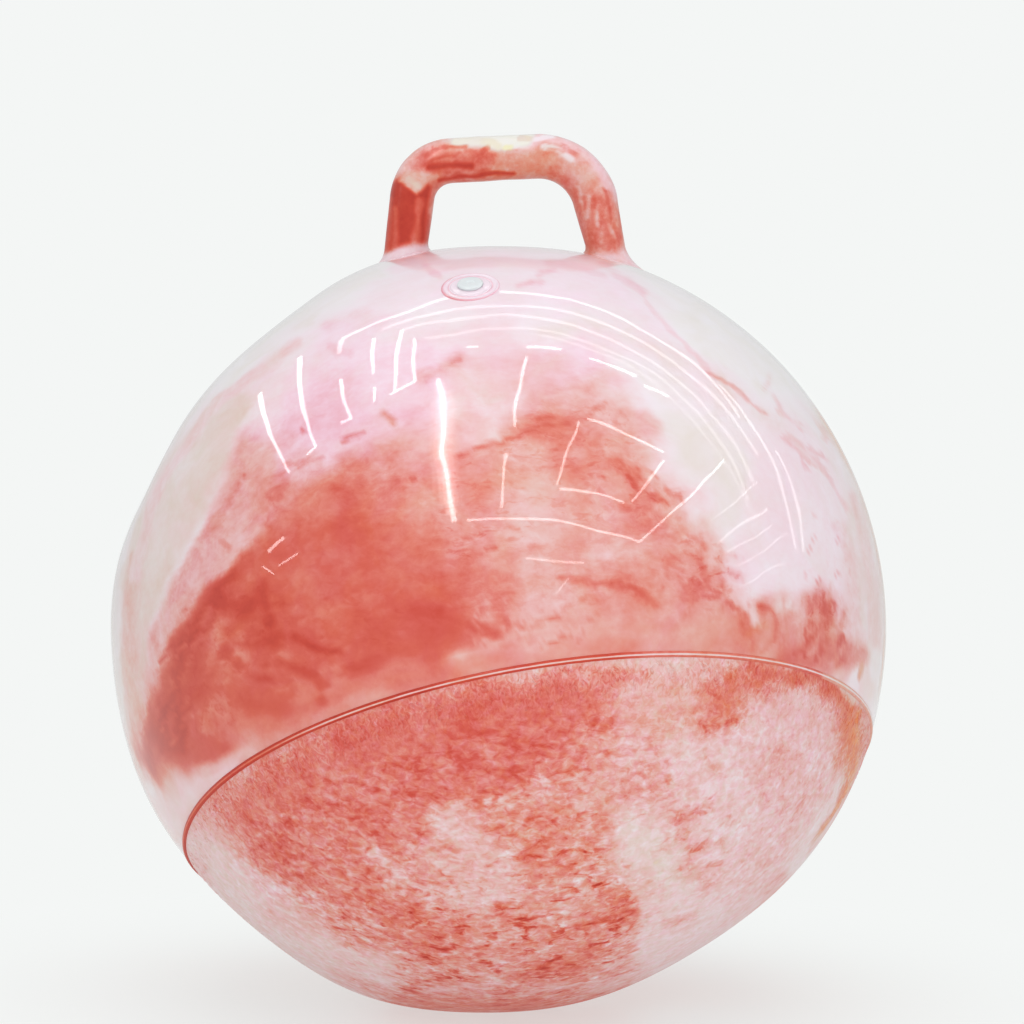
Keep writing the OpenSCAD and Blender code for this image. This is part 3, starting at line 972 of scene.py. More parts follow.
LOWER_STROKES = (
    *patches((0.56, 34, 0.1, -178, -100, -158, -130, -126, -158, -90, -172, -50, -165, -40, -60, -100, -50,
         -150, -76, -186, -110),
        (0.62, 34, 0, -100, -62, -40, -34, 0, -26, 40, -25, 66, -28, 66, -46, 52, -66, 38, -88, 8, -104,
         -40, -102, -84, -90),
        (0.46, 28, 0.4, -30, -100, 30, -96, 56, -88, 66, -120, 66, -160, 30, -160, -10, -130),
        (0.32, 22, 0.2, -30, -104, -16, -108, 6, -126, 14, -156, -10, -168, -22, -140),
        (0.52, 26, 0.3, -110, -140, -60, -150, -30, -166, -6, -180, -16, -208, -60, -206, -92, -180),
        (0.28, 22, 0.1, -66, -206, -60, -192, -88, -182, -108, -182, -90, -202),
        (0.52, 26, 0.3, -4, -160, 60, -158, 84, -172, 70, -200, 10, -210),
        (0.2, 24, 0.4, -190, -128, -176, -116, -158, -128, -146, -146, -120, -164, -96, -178, -70, -198,
         -110, -208, -160, -174)),
    # The pale strip and the pale right
    *patches((0.32, 10, 0.4, -10, -22, 60, -17, 130, -16, 124, -24, 98, -27, 60, -21, 0, -28),
        (0.36, 22, 0.4, 86, -34, 120, -28, 122, -50, 112, -74, 88, -66, 74, -54),
        (0.38, 20, 0.1, 60, -64, 82, -70, 104, -84, 102, -102, 72, -104, 54, -90),
        (0.2, 26, 0.6, 66, -104, 90, -106, 106, -130, 112, -160, 86, -158, 64, -134),
        (0.25, 24, 0.1, 104, -70, 128, -60, 150, -76, 168, -110, 150, -150, 120, -146, 108, -116),
        (0.2, 24, 0.2, 84, -164, 110, -156, 150, -150, 170, -140, 130, -190, 90, -206, 70, -196),
        (0.3, 20, 0, 132, -50, 160, -36, 186, -34, 198, -50, 200, -80, 184, -110, 162, -128, 148, -108,
         140, -80), (0.16, 14, 0.3, 164, -140, 182, -116, 194, -98, 201, -86, 197, -110, 174, -148)),
    # The red arc on the right
    *patches((0.66, 16, 0.4, 120, -36, 134, -26, 160, -21, 186, -24, 200, -31, 207, -46, 208, -62, 203,
         -64, 196, -48, 180, -38, 160, -34, 146, -40, 138, -52, 124, -58),
        (0.58, 14, 0.6, 128, -42, 140, -32, 150, -38, 140, -52, 128, -54)),
    *veins((0.6, 6, 1, 0.8, 196, -32, 203, -44, 205, -60, 204, -78),
        (0.56, 15, 1.4, 0.85, 206, -60, 205, -82, 201, -94),
        (0.48, 13, 1.4, 0.8, 208, -80, 199, -100, 188, -118)),
    *streaks((0.66, 2.6, 0.6, 150, -28, 170, -27, 190, -31), (0.22, 4, 1, 212, -44, 206, -38, 198, -32)),
    # Deep places and streaks
    *streaks((0.72, 3.4, 0.7, -95, -67, -89, -70), (0.66, 16, 0.5, -30, -58, 10, -54),
        (0.66, 12, 0.5, 14, -62, 44, -48), (0.58, 5, 0.4, 60, -30, 84, -28),
        (0.58, 12, 0.5, -66, -88, -50, -96), (0.6, 12, 0.5, -140, -96, -110, -84),
        (0.58, 10, 0.5, 20, -130, 44, -124), (0.62, 10, 0.5, -60, -176, -40, -184),
        (0.62, 7, 0.5, 48, -172, 74, -164), (0.62, 6, 0.5, 36, -196, 56, -190),
        (0.34, 8, 0.5, -72, -132, -56, -150), (0.36, 9, 0.5, -46, -134, -36, -148),
        (0.58, 12, 0.5, 18, -126, 42, -136), (0.22, 12, 0.5, -152, -144, -126, -158),
        (0.32, 7, 0.5, 20, -180, 40, -184), (0.46, 5, 0.5, 104, -112, 124, -104),
        (0.46, 4, 0.6, 112, -129, 132, -122), (0.44, 5, 0.5, 118, -76, 128, -84),
        (0.42, 4, 0.5, 96, -172, 112, -168)),
    *patches((0.56, 10, 0.3, -90, -218, -50, -216, 0, -215, 40, -216, 76, -211, 50, -228, -50, -230)),
)

UPPER_SPECKS = patches(
    (0.5, 14, None, -40, 92, -4, 112, 40, 130, 76, 134, 100, 110, 110, 78, 80, 56, 30, 46, -34, 40),
    (0.6, 10, None, -8, 98, 10, 112, 60, 134, 70, 124, 24, 106),
    (0.6, 10, None, 104, 60, 140, 50, 150, 20, 176, -20, 140, -16, 112, 20),
    (0.6, 10, None, 176, 60, 200, 70, 210, 10, 196, -24, 176, -20),
    (0.5, 14, None, -200, -40, -176, 10, -150, 30, -128, 0, -150, -60, -196, -80),
    (0.35, 14, None, -130, 20, -60, 30, -40, -20, -110, -46))

LOWER_SPECKS = patches(
    (1, 24, None, -120, -150, -60, -160, -6, -130, 66, -120, 100, -160, 70, -210, -80, -210),
    (0.8, 20, None, 60, -110, 96, -90, 150, -110, 140, -150, 96, -160))

BEAD_STROKES = patches(
    (0.92, 20, 0.5, -240, -200, -240, 0, -110, 0, -110, -200),
    (0.95, 20, 0.4, -110, -200, -110, 0, -30, 0, -30, -200),
    (0.85, 30, 0.4, -30, -60, -30, 20, 80, 20, 80, -60),
    (0.62, 30, 0.4, 80, -60, 80, 20, 180, 20, 180, -60),
    (0.4, 10, 0.8, 196, -80, 180, 20, 230, 20, 230, -80))

HANDLE_STROKES = (
    # Right end, bar and left end, from the back of the pattern to the front
    *patches((0.3, 12, -0.2, 4, 292, 60, 292, 75, 250, 60, 244, 44, 268, 8, 276),
        (0.48, 10, 0.8, -8, 281, 33, 279, 42, 268, 34, 262, -8, 262),
        (0.38, 10, 0.6, 34, 276, 52, 272, 62, 252, 50, 246, 40, 262),
        (0, 8, 1.1, -36, 294, -30, 282.5, 2, 280.5, 16, 283, 22, 294),
        (0.58, 12, 0.3, 42, 252, 52, 258, 66, 254, 74, 218, 50, 216, 46, 236),
        (0.64, 8, 0.4, 30, 267, 38, 262, 46, 248, 42, 242, 36, 254),
        (0.34, 12, 0, -68, 262, -60, 276, -44, 288, -30, 290, -34, 280, -52, 268),
        (0.96, 5, 0.4, -70, 260, -58, 262, -47, 254, -38, 262, -40, 222, -72, 216),
        (0.62, 9, 0.3, -52, 271, -48, 280, -30, 285, -14, 283, -4, 278, -8, 270, -22, 264, -42, 262)),
    *streaks((0.6, 2.2, 1, -40, 273, -30, 277, -20, 277), (0.68, 1.4, 1, -44, 276, -34, 281, -20, 282),
        (0.96, 1.8, 1, -42, 269, -30, 271, -16, 270), (0.68, 2, 1, -12, 277, -8, 280)),
    *patches((0.36, 4, 0.9, -55.5, 268, -35, 265, -47, 252.5, -60, 260.5)),
    *streaks((0.24, 2.2, 1, -54, 262, -48, 258), warmth=1.1),
    *streaks((0.66, 1.8, 0.7, -62, 219, -61.5, 244), (0.62, 2, 0.8, -50, 223, -48, 240, -47, 250),
        (0.82, 1.4, 1, -66, 220, -64, 250), (0.78, 1.6, 1, -44, 222, -42, 240),
        (0.88, 1.4, 1, -36, 262, -20, 264.5, 0, 265.5, 8, 265)),
    *streaks((0.05, 3, 1, -26, 285, -12, 285.5), warmth=1.2),
    *streaks((0.08, 3.2, 1, -10, 284, -2, 282), warmth=1.3),
    *streaks((0.08, 2.6, 1, 3, 281.5, 6, 281.5), warmth=1.9),
    *streaks((0.14, 2, 1, 12, 286, 30, 287), (0.16, 2.2, 1, 26, 281, 34, 279, 42, 274),
        (0.44, 1.4, 1, 36, 282, 46, 275), (0.66, 1.5, 1, 61, 256, 66, 240, 69, 228),
        (0.32, 1.6, 1, 56, 243, 57, 235), (0.36, 1.6, 1, 52, 252, 50, 240),
        (0.62, 1.6, 1, 64, 232, 66, 222), (0.6, 1.8, 1, 44, 250, 47, 236, 50, 224)),
    *scatters((0.66, 71, 16, (60, 238), (12, 16), 6, 80, 1.2, 0.6),
        (0.34, 72, 12, (58, 244), (12, 16), 6, 80, 1.2, 0.6),
        (0.9, 73, 12, (-24, 273), (20, 8), 6, 10, 1.1, 0.5),
        (0.46, 74, 12, (20, 272), (16, 8), 6, 0, 1.3, 0.6)),
    # The pale skirts where the loop runs into the ball
    *patches((0.22, 4, -0.4, -90, 219, -68, 219, -56, 220, -36, 223, -30, 200, -95, 190),
        (0.26, 6, -0.2, 44, 220, 60, 219, 80, 222, 100, 180, 40, 200)),
)


class Course(Enum):
    """How a fine pattern runs over the skin."""

    FREE = "free"
    FLOW = "flow"
    COMB = "comb"


@dataclass(frozen=True)
class Fleck:
    """A fine pattern in the pigment.

    Attributes:
        size_mm: Its grain across.
        stretch: How many times longer than wide its grains are.
        strength: How far it changes the tone.
        course: How it runs over the skin.
        detail: How many finer layers it has.
        twist: How far its grains curl.
        lone: Whether only its highest places show, as separate flecks.
    """

    size_mm: float
    stretch: float
    strength: float
    course: Course = Course.FREE
    detail: float = 2.0
    twist: float = 0.0
    lone: bool = False


# The span of a noise's usual values, and of the few high ones that show as separate flecks
NOISE_SPAN = (0.34, 0.66)
LONE_SPAN = (0.56, 0.70)

# Colours of the paste by tone, from white to deep red, in four grades of warmth
RAMP_TONES = (0.0, 0.12, 0.27, 0.42, 0.56, 0.70, 0.85, 1.0)
LILAC_STOPS = tuple(zip(RAMP_TONES, (
    "#ECE9F0", "#EFDDE9", "#EAC0D0", "#E29CAC", "#DB7A82", "#D0574F", "#C64336", "#B03026")))
COOL_STOPS = tuple(zip(RAMP_TONES, (
    "#EAE8EC", "#E9DCE2", "#E5BFC1", "#DF9E98", "#DA7C72", "#D15A4F", "#C64335", "#B03025")))
WARM_STOPS = tuple(zip(RAMP_TONES, (
    "#E5E1DB", "#DDD0C8", "#DAB9AC", "#DB9C86", "#DC8064", "#D66648", "#CA4C36", "#B83A2A")))
AMBER_STOPS = tuple(zip(RAMP_TONES, (
    "#EAE6C4", "#E6DFA8", "#E6C890", "#E6A868", "#E88C48", "#E47838", "#D86030", "#C84E2C")))

# How strongly the fine patterns work at each tone: the lighter the grey, the more
SMOOTH_MOTTLE = ((0.0, "#303030"), (0.12, "#606060"), (0.3, "#C0C0C0"), (0.52, "#FFFFFF"),
                 (0.68, "#C8C8C8"), (0.9, "#989898"))
PEBBLED_MOTTLE = ((0.0, "#404040"), (0.18, "#808080"), (0.34, "#D0D0D0"), (0.48, "#FFFFFF"),
                  (0.62, "#D8D8D8"), (0.8, "#C0C0C0"))


@dataclass(frozen=True)
class MarbledVinyl:
    """Plasticised PVC, rotationally moulded from marbled paste: it takes the mould's gloss or grain.

    Attributes:
        name: The material's name.
        roughness: Roughness of the vinyl itself.
        gloss: Strength of the clear gloss on top.
        flecks: The fine patterns in its pigment.
        mottle: Tones, with greys that say how strongly the fine patterns work there.
        grain_mm: Size of the moulded grain.
        grain_depth: Depth of the grain, in metres.
        seam_reach: How far from the seam the comb pattern reaches, in metres.
        seam_share: The share of that reach from which it gives way to the flowing patterns.
        ior: Refractive index of the vinyl.
        gloss_roughness: Roughness of that gloss.
        specular: Strength of the vinyl's own shine, under the gloss.
        gloss_ior: How strongly the gloss mirrors.
        swirl: How far the fine patterns are bent, in metres.
        swirl_cell: The length over which they bend, in metres.
        flow_tilt: The slope of the flowing patterns, in degrees.
        hue_mm: Size of the places where the paste is warmer or cooler.
        hue_swing: How far their warmth strays.
    """

    name: str
    roughness: float
    gloss: float
    flecks: tuple[Fleck, ...]
    mottle: tuple[tuple[float, str], ...]
    grain_mm: float
    grain_depth: float
    seam_reach: float = 34.0 * MM
    seam_share: float = 0.3
    ior: float = 1.53
    gloss_roughness: float = 0.035
    specular: float = 0.12
    gloss_ior: float = 1.34
    swirl: float = 7.0 * MM
    swirl_cell: float = 24.0 * MM
    flow_tilt: float = 14.0
    hue_mm: float = 24.0
    hue_swing: float = 0.25

    def ramp(self, add: Adder, tone: Socket, stops: Iterable[tuple[float, str]]) -> Socket:
        """Adds a colour ramp over the tone.

        Args:
            add: The material's adder of nodes.
            tone: The socket that holds the tone.
            stops: Tones with their colours.

        Returns:
            The ramp's colour socket.
        """
        node = add("ShaderNodeValToRGB", {"Fac": tone})
        elements = node.color_ramp.elements
        while len(elements) < len(stops):
            elements.new(0.5)
        for element, (place, colour) in zip(elements, stops):
            element.position = place
            element.color = linear_colour(colour)
        return node.outputs["Color"]

    def fleck(self, add: Adder, fleck: Fleck, place: Socket, total: Socket | float) -> Socket:
        """Adds one fine pattern to the others.

        Args:
            add: The material's adder of nodes.
            fleck: The pattern.
            place: The swirled place in the object.
            total: The sum of the patterns before it.

        Returns:
            The new sum.
        """
        seam = add("ShaderNodeAttribute", attribute_name="seam_place").outputs["Vector"]
        way = place
        if fleck.course is Course.FLOW:
            way = add("ShaderNodeMapping", {
                "Vector": place, "Rotation": (0.0, math.radians(self.flow_tilt), 0.0),
                "Scale": (1 / fleck.stretch, 1.0, 1.0)}).outputs["Vector"]
        if fleck.course is Course.COMB:
            way = add("ShaderNodeMapping", {
                "Vector": seam, "Scale": (1.0, 1.0, 1 / fleck.stretch)}).outputs["Vector"]
        noise = add("ShaderNodeTexNoise", {
            "Vector": way, "Scale": 1 / (fleck.size_mm * MM), "Detail": fleck.detail, "Roughness": 0.55,
            "Distortion": fleck.twist})
        low, high = LONE_SPAN if fleck.lone else NOISE_SPAN
        least = 0.0 if fleck.lone else -fleck.strength
        swing = add("ShaderNodeMapRange", {
            "Value": noise, "From Min": low, "From Max": high, "To Min": least, "To Max": fleck.strength},
            clamp=fleck.lone).outputs["Result"]
        if fleck.lone:
            specks = add("ShaderNodeAttribute", attribute_name="specks").outputs["Fac"]
            swing = add("ShaderNodeMath", {0: swing, 1: specks}, operation="MULTIPLY").outputs[0]
        if fleck.course is not Course.FREE:
            depth = add("ShaderNodeSeparateXYZ", {0: seam}).outputs["Z"]
            near, far = (1.0, 0.0) if fleck.course is Course.COMB else (0.0, 1.0)
            share = add("ShaderNodeMapRange", {
                "Value": depth, "From Min": self.seam_share * self.seam_reach, "From Max": self.seam_reach,
                "To Min": near, "To Max": far}).outputs["Result"]
            swing = add("ShaderNodeMath", {0: swing, 1: share}, operation="MULTIPLY").outputs[0]
        return add("ShaderNodeMath", {0: swing, 1: total}, operation="ADD").outputs[0]

    def colour(self, add: Adder, place: Socket) -> Socket:
        """Adds the marbled colour: the vertex pigment, broken up by the fine patterns.

        Args:
            add: The material's adder of nodes.
            place: The place in the object.

        Returns:
            The colour's socket.
        """
        pigment = add("ShaderNodeAttribute", attribute_name="pigment").outputs["Fac"]
        warmth = add("ShaderNodeAttribute", attribute_name="warmth").outputs["Fac"]
        bend = add("ShaderNodeTexNoise", {"Vector": place, "Scale": 1 / self.swirl_cell, "Detail": 2.0})
        bent = add("ShaderNodeVectorMath", {
            0: bend.outputs["Color"], 1: (self.swirl, self.swirl, self.swirl), 2: place},
            operation="MULTIPLY_ADD").outputs["Vector"]
        total: Socket | float = 0.0
        for fleck in self.flecks:
            total = self.fleck(add, fleck, bent, total)
        hue = add("ShaderNodeTexNoise", {
            "Vector": bent, "Scale": 1 / (self.hue_mm * MM), "Detail": 3.0, "Distortion": 0.8})
        stray = add("ShaderNodeMapRange", {
            "Value": hue, "From Min": NOISE_SPAN[0], "From Max": NOISE_SPAN[1], "To Min": -self.hue_swing,
            "To Max": self.hue_swing}, clamp=False).outputs["Result"]
        warmth = add("ShaderNodeMath", {0: warmth, 1: stray}, operation="ADD").outputs[0]
        share = self.ramp(add, pigment, self.mottle)
        tone = add("ShaderNodeMath", {0: total, 1: share, 2: pigment}, operation="MULTIPLY_ADD").outputs[0]
        colour = self.ramp(add, tone, LILAC_STOPS)
        for start, stops in ((-1.0, COOL_STOPS), (0.0, WARM_STOPS), (1.0, AMBER_STOPS)):
            beyond = add("ShaderNodeMath", {0: warmth, 1: start}, operation="SUBTRACT").outputs[0]
            colour = add("ShaderNodeMix", {
                0: beyond, 6: colour, 7: self.ramp(add, tone, stops)}, data_type="RGBA",
                clamp_factor=True).outputs[2]
        return colour

    def build(self) -> Material:
        """Makes the material.

        Returns:
            The material.
        """
        material, add, place = start_material(self.name)
        grain = add("ShaderNodeTexNoise", {
            "Vector": place, "Scale": 1 / (self.grain_mm * MM), "Detail": 2.5, "Roughness": 0.5})
        bump = add("ShaderNodeBump", {"Height": grain, "Distance": self.grain_depth, "Strength": 1.0})
        shader = add("ShaderNodeBsdfPrincipled", {
            "Base Color": self.colour(add, place), "Roughness": self.roughness, "IOR": self.ior,
            "Specular IOR Level": self.specular, "Coat Weight": self.gloss,
            "Coat Roughness": self.gloss_roughness, "Coat IOR": self.gloss_ior, "Normal": bump})
        add("ShaderNodeOutputMaterial", {"Surface": shader})
        return material


@dataclass(frozen=True)
class PlugPlastic:
    """White polyethylene, injection moulded: waxy, faintly clouded and not quite smooth."""

    name: str = "white_polyethylene"
    pale: str = "#DCE1E3"
    dull: str = "#D0D6D9"
    roughness: float = 0.34
    ior: float = 1.51
    cloud_mm: float = 5.0
    grain_mm: float = 0.6
    grain_depth: float = 0.02 * MM

    def build(self) -> Material:
        """Makes the material.

        Returns:
            The material.
        """
        material, add, place = start_material(self.name)
        cloud = add("ShaderNodeTexNoise", {"Vector": place, "Scale": 1 / (self.cloud_mm * MM)})
        colour = add("ShaderNodeMix", {
            0: cloud, 6: linear_colour(self.dull), 7: linear_colour(self.pale)},
            data_type="RGBA").outputs[2]
        grain = add("ShaderNodeTexNoise", {
            "Vector": place, "Scale": 1 / (self.grain_mm * MM), "Detail": 2.0})
        bump = add("ShaderNodeBump", {"Height": grain, "Distance": self.grain_depth, "Strength": 1.0})
        shader = add("ShaderNodeBsdfPrincipled", {
            "Base Color": colour, "Roughness": self.roughness, "IOR": self.ior, "Normal": bump})
        add("ShaderNodeOutputMaterial", {"Surface": shader})
        return material


def keep_seam_place(mesh: Mesh, form: BallForm) -> None:
    """Keeps each vertex's place along and below the seam, for patterns that run across the seam.

    Args:
        mesh: The mesh.
        form: The ball's form.
    """
    ways = form.ways(mesh_points(mesh))
    below = form.below_seam(ways)
    flat = ways - np.outer(ways @ np.array(form.seam_axis), np.array(form.seam_axis))
    flat *= form.radius * math.sin(form.seam_angle) / np.linalg.norm(flat, axis=1)[:, None].clip(1e-6)
    side = np.array(form.seam_axis.cross(Vector((1.0, 0.0, 0.0))).normalized())
    other = np.cross(side, np.array(form.seam_axis))
    store_values(mesh, "seam_place", np.stack([flat @ side, flat @ other, np.abs(below)], axis=1))


@dataclass(frozen=True)
class Skin:
    """One zone of the ball's skin, from the pole of the seam's axis to the seam.

    Attributes:
        name: The name of its node.
        form: The ball's form.
        marbling: The pigment on it.
        vinyl: Its finish.
        slot: The record's slot; not used.
        upper: Whether it lies above the seam.
        around: Points round each ring.
        spacing: Distance between rings.
        crowding: How much closer the points stand at the front than on average, as a share.
    """

    name: str
    form: BallForm
    marbling: Marbling
    vinyl: MarbledVinyl
    slot: str
    upper: bool
    around: int
    spacing: float
    crowding: float = 0.42
    fine_band: float = 10.0 * MM
    fine_spacing: float = 0.9 * MM
    inner_rings: int = 12
    valve_hole: float = 14.6 * MM
    hole_reach: float = 12.0 * MM
    hole_points: int = 96
    sharp_angle: float = math.radians(40)

    def angles(self) -> list[float]:
        """Gives each outer ring's angle from the seam's axis, from the pole to the seam.

        Returns:
            The angles in radians.
        """
        edge = self.form.seam_angle if self.upper else math.pi - self.form.seam_angle
        span = edge - self.fine_band / self.form.radius
        coarse = max(2, round(span * self.form.radius / self.spacing))
        fine = max(2, round(self.fine_band / self.fine_spacing))
        steps = [span * (i + 1) / coarse for i in range(coarse)]
        steps += [span + (edge - span) * (i + 1) / fine for i in range(fine)]
        return steps if self.upper else [math.pi - s for s in steps]

    def shell(self) -> Mesh:
        """Makes the closed shell of this zone, with its wall.

        Returns:
            The mesh.
        """
        even = np.arange(self.around) * 2 * math.pi / self.around
        turns = even - self.crowding * np.sin(even)
        angles = self.angles()
        inner = angles[::-1][::max(1, len(angles) // self.inner_rings)]
        rings = [self.form.surface(self.form.seam_ways(a, turns)) for a in angles]
        rings += [self.form.surface(self.form.seam_ways(a, turns), self.form.wall) for a in inner]
        pole = np.array(self.form.seam_axis if self.upper else -self.form.seam_axis)[None, :]
        poles = [self.form.surface(pole, depth)[0] for depth in (0.0, self.form.wall)]
        return ring_mesh(self.name, np.array(rings), poles[0], poles[1])

    def pierce(self, piece: Piece) -> None:
        """Cuts the round hole that the valve's bush is bonded into.

        Args:
            piece: The zone.
        """
        turn = self.form.valve_axis.to_track_quat("Z", "Y").to_matrix().to_4x4()
        place = Matrix.Translation(self.form.centre) @ turn
        low, high = self.form.radius - self.hole_reach, self.form.radius + self.hole_reach
        profile = [(0, low), (self.valve_hole, low), (self.valve_hole, high), (0, high)]
        hole = bpy.data.objects.new("hole", revolved_mesh("hole", profile, place, self.hole_points))
        bpy.context.scene.collection.objects.link(hole)
        cut = piece.modifiers.new("valve_hole", "BOOLEAN")
        cut.object, cut.operation, cut.solver = hole, "DIFFERENCE", "EXACT"
        hardened(piece)
        bpy.data.objects.remove(hole)
        piece.data.set_sharp_from_angle(angle=self.sharp_angle)

    def build(self) -> Piece:
        """Makes the zone, painted and dressed.

        Returns:
            The zone.
        """
        piece = new_piece(self.name + "_dressed", self.shell(), self.vinyl.build())
        if self.upper:
            self.pierce(piece)
        self.marbling.paint(piece.data)
        keep_seam_place(piece.data, self.form)
        settle(piece, BALL_BODY, [self.name])
        return piece


def start_tree(name: str, inputs: Sequence[tuple[str, str, Any]]) -> tuple[Tree, Adder, Any]:
    """Starts a Geometry Nodes tree with named inputs.

    Args:
        name: The tree's name.
        inputs: The name, socket type and starting value of each input after the geometry.

    Returns:
        The tree, its adder of nodes, and the sockets that its inputs come in by.
    """
    tree = bpy.data.node_groups.new(name, "GeometryNodeTree")
    tree.interface.new_socket("Geometry", in_out="INPUT", socket_type="NodeSocketGeometry")
    tree.interface.new_socket("Geometry", in_out="OUTPUT", socket_type="NodeSocketGeometry")
    for title, kind, value in inputs:
        socket = tree.interface.new_socket(title, in_out="INPUT", socket_type=kind)
        if value is not None:
            socket.default_value = value
    add = partial(add_node, tree)
    return tree, add, add("NodeGroupInput").outputs


def finish_tree(add: Adder, geometry: bpy.types.Node, material: Socket) -> None:
    """Ends a Geometry Nodes tree with plain, smooth faces that have the material.

    Args:
        add: The tree's adder of nodes.
        geometry: The node that gives the geometry.
        material: The socket that gives the material.
    """
    real = add("GeometryNodeRealizeInstances", {"Geometry": geometry})
    smooth = add("GeometryNodeSetShadeSmooth", {"Geometry": real})
    dressed = add("GeometryNodeSetMaterial", {"Geometry": smooth, "Material": material})
    add("NodeGroupOutput", {"Geometry": dressed})


def path_mesh(name: str, points: Array) -> Mesh:
    """Makes a closed line of edges through points.

    Args:
        name: The mesh's name.
        points: Rows of three coordinates.

    Returns:
        The mesh.
    """
    count = len(points)
    mesh = bpy.data.meshes.new(name)
    mesh.from_pydata(points.tolist(), [(i, (i + 1) % count) for i in range(count)], [])
    return mesh


@dataclass(frozen=True)
class Bead:
    """The raised bead along the parting line, swept by Geometry Nodes. Lengths are in metres."""

    form: BallForm
    marbling: Marbling
    vinyl: MarbledVinyl
    width: float = 3.8 * MM
    stand: float = 0.8 * MM
    waver: float = 0.12 * MM
    waver_cell: float = 14.0 * MM
    stations: int = 900
    around: int = 40
    # Painted highlight along the crest: the share of the tone left where it is full, the shares of the stand
    # where it starts and is full, the span across the picture over which it grows out of the deep red left
    # part, and how much of it that part keeps
    highlight_tone_share: float = 0.3
    highlight_span: tuple[float, float] = (0.86, 0.97)
    red_edge: tuple[float, float] = (-150.0, -90.0)
    red_highlight_share: float = 0.4

    def tree(self) -> Tree:
        """Builds the tree that sweeps a round section along the path and lets it waver.

        Returns:
            The tree.
        """
        tree, add, given = start_tree("bead_sweep", [
            ("Radius", "NodeSocketFloat", 1.8 * MM), ("Waver", "NodeSocketFloat", 0.1 * MM),
            ("Waver Length", "NodeSocketFloat", 14 * MM), ("Points Round", "NodeSocketInt", 14),
            ("Material", "NodeSocketMaterial", None)])
        path = add("GeometryNodeMeshToCurve", {"Mesh": given["Geometry"]})
        section = add("GeometryNodeCurvePrimitiveCircle", {
            "Resolution": given["Points Round"], "Radius": given["Radius"]})
        sweep = add("GeometryNodeCurveToMesh", {"Curve": path, "Profile Curve": section})
        rate = add("ShaderNodeMath", {0: 1.0, 1: given["Waver Length"]}, operation="DIVIDE")
        place = add("GeometryNodeInputPosition")
        noise = add("ShaderNodeTexNoise", {"Vector": place, "Scale": rate, "Detail": 1.0})
        centred = add("ShaderNodeVectorMath", {
            0: noise.outputs["Color"], 1: (0.5, 0.5, 0.5)}, operation="SUBTRACT")
        shift = add("ShaderNodeVectorMath", {0: centred, "Scale": given["Waver"]}, operation="SCALE")
        moved = add("GeometryNodeSetPosition", {"Geometry": sweep, "Offset": shift})
        finish_tree(add, moved, given["Material"])
        return tree

    def build(self) -> Piece:
        """Makes the bead, with a painted highlight along its crest and deep red flanks.

        Returns:
            The bead.
        """
        radius = self.width / 2
        turns = np.arange(self.stations) * 2 * math.pi / self.stations
        ways = self.form.seam_ways(self.form.seam_angle, turns)
        floor = self.form.surface(ways) + ways * self.form.groove_depth
        path = floor + ways * (self.stand - radius)
        material = self.vinyl.build()
        piece = new_piece("seam_bead_dressed", path_mesh("seam_bead_dressed", path), material)
        node_modifier(piece, self.tree(), {
            "Radius": radius, "Waver": self.waver, "Waver Length": self.waver_cell,
            "Points Round": self.around, "Material": material})
        hardened(piece)
        finish_mesh(piece.data)
        self.marbling.paint(piece.data, round_back=False)
        self.paint_crest_highlight(piece.data)
        settle(piece, BALL_BODY, ["seam_bead"])
        return piece

    def paint_crest_highlight(self, mesh: Mesh) -> None:
        """Paints a highlight along the crest by lightening its pigment, less on the deep red left part.

        Args:
            mesh: The bead's mesh.
        """
        points = mesh_points(mesh)
        ways = self.form.ways(points)
        base = self.form.surface(ways) + ways * self.form.groove_depth
        rise = np.linalg.norm(points - np.array(self.form.centre), axis=1)
        rise -= np.linalg.norm(base - np.array(self.form.centre), axis=1)
        start, stop = self.highlight_span
        # Painted highlight: lighter pigment towards the top of the crest, weaker on the deep red left part
        crest = ease(start * self.stand, stop * self.stand, rise)
        plain = ease(*self.red_edge, self.marbling.view.spots(points)[:, 0])
        crest *= self.red_highlight_share + (1.0 - self.red_highlight_share) * plain
        tone = read_values(mesh, "pigment")
        store_values(mesh, "pigment", tone * (1.0 - (1.0 - self.highlight_tone_share) * crest))


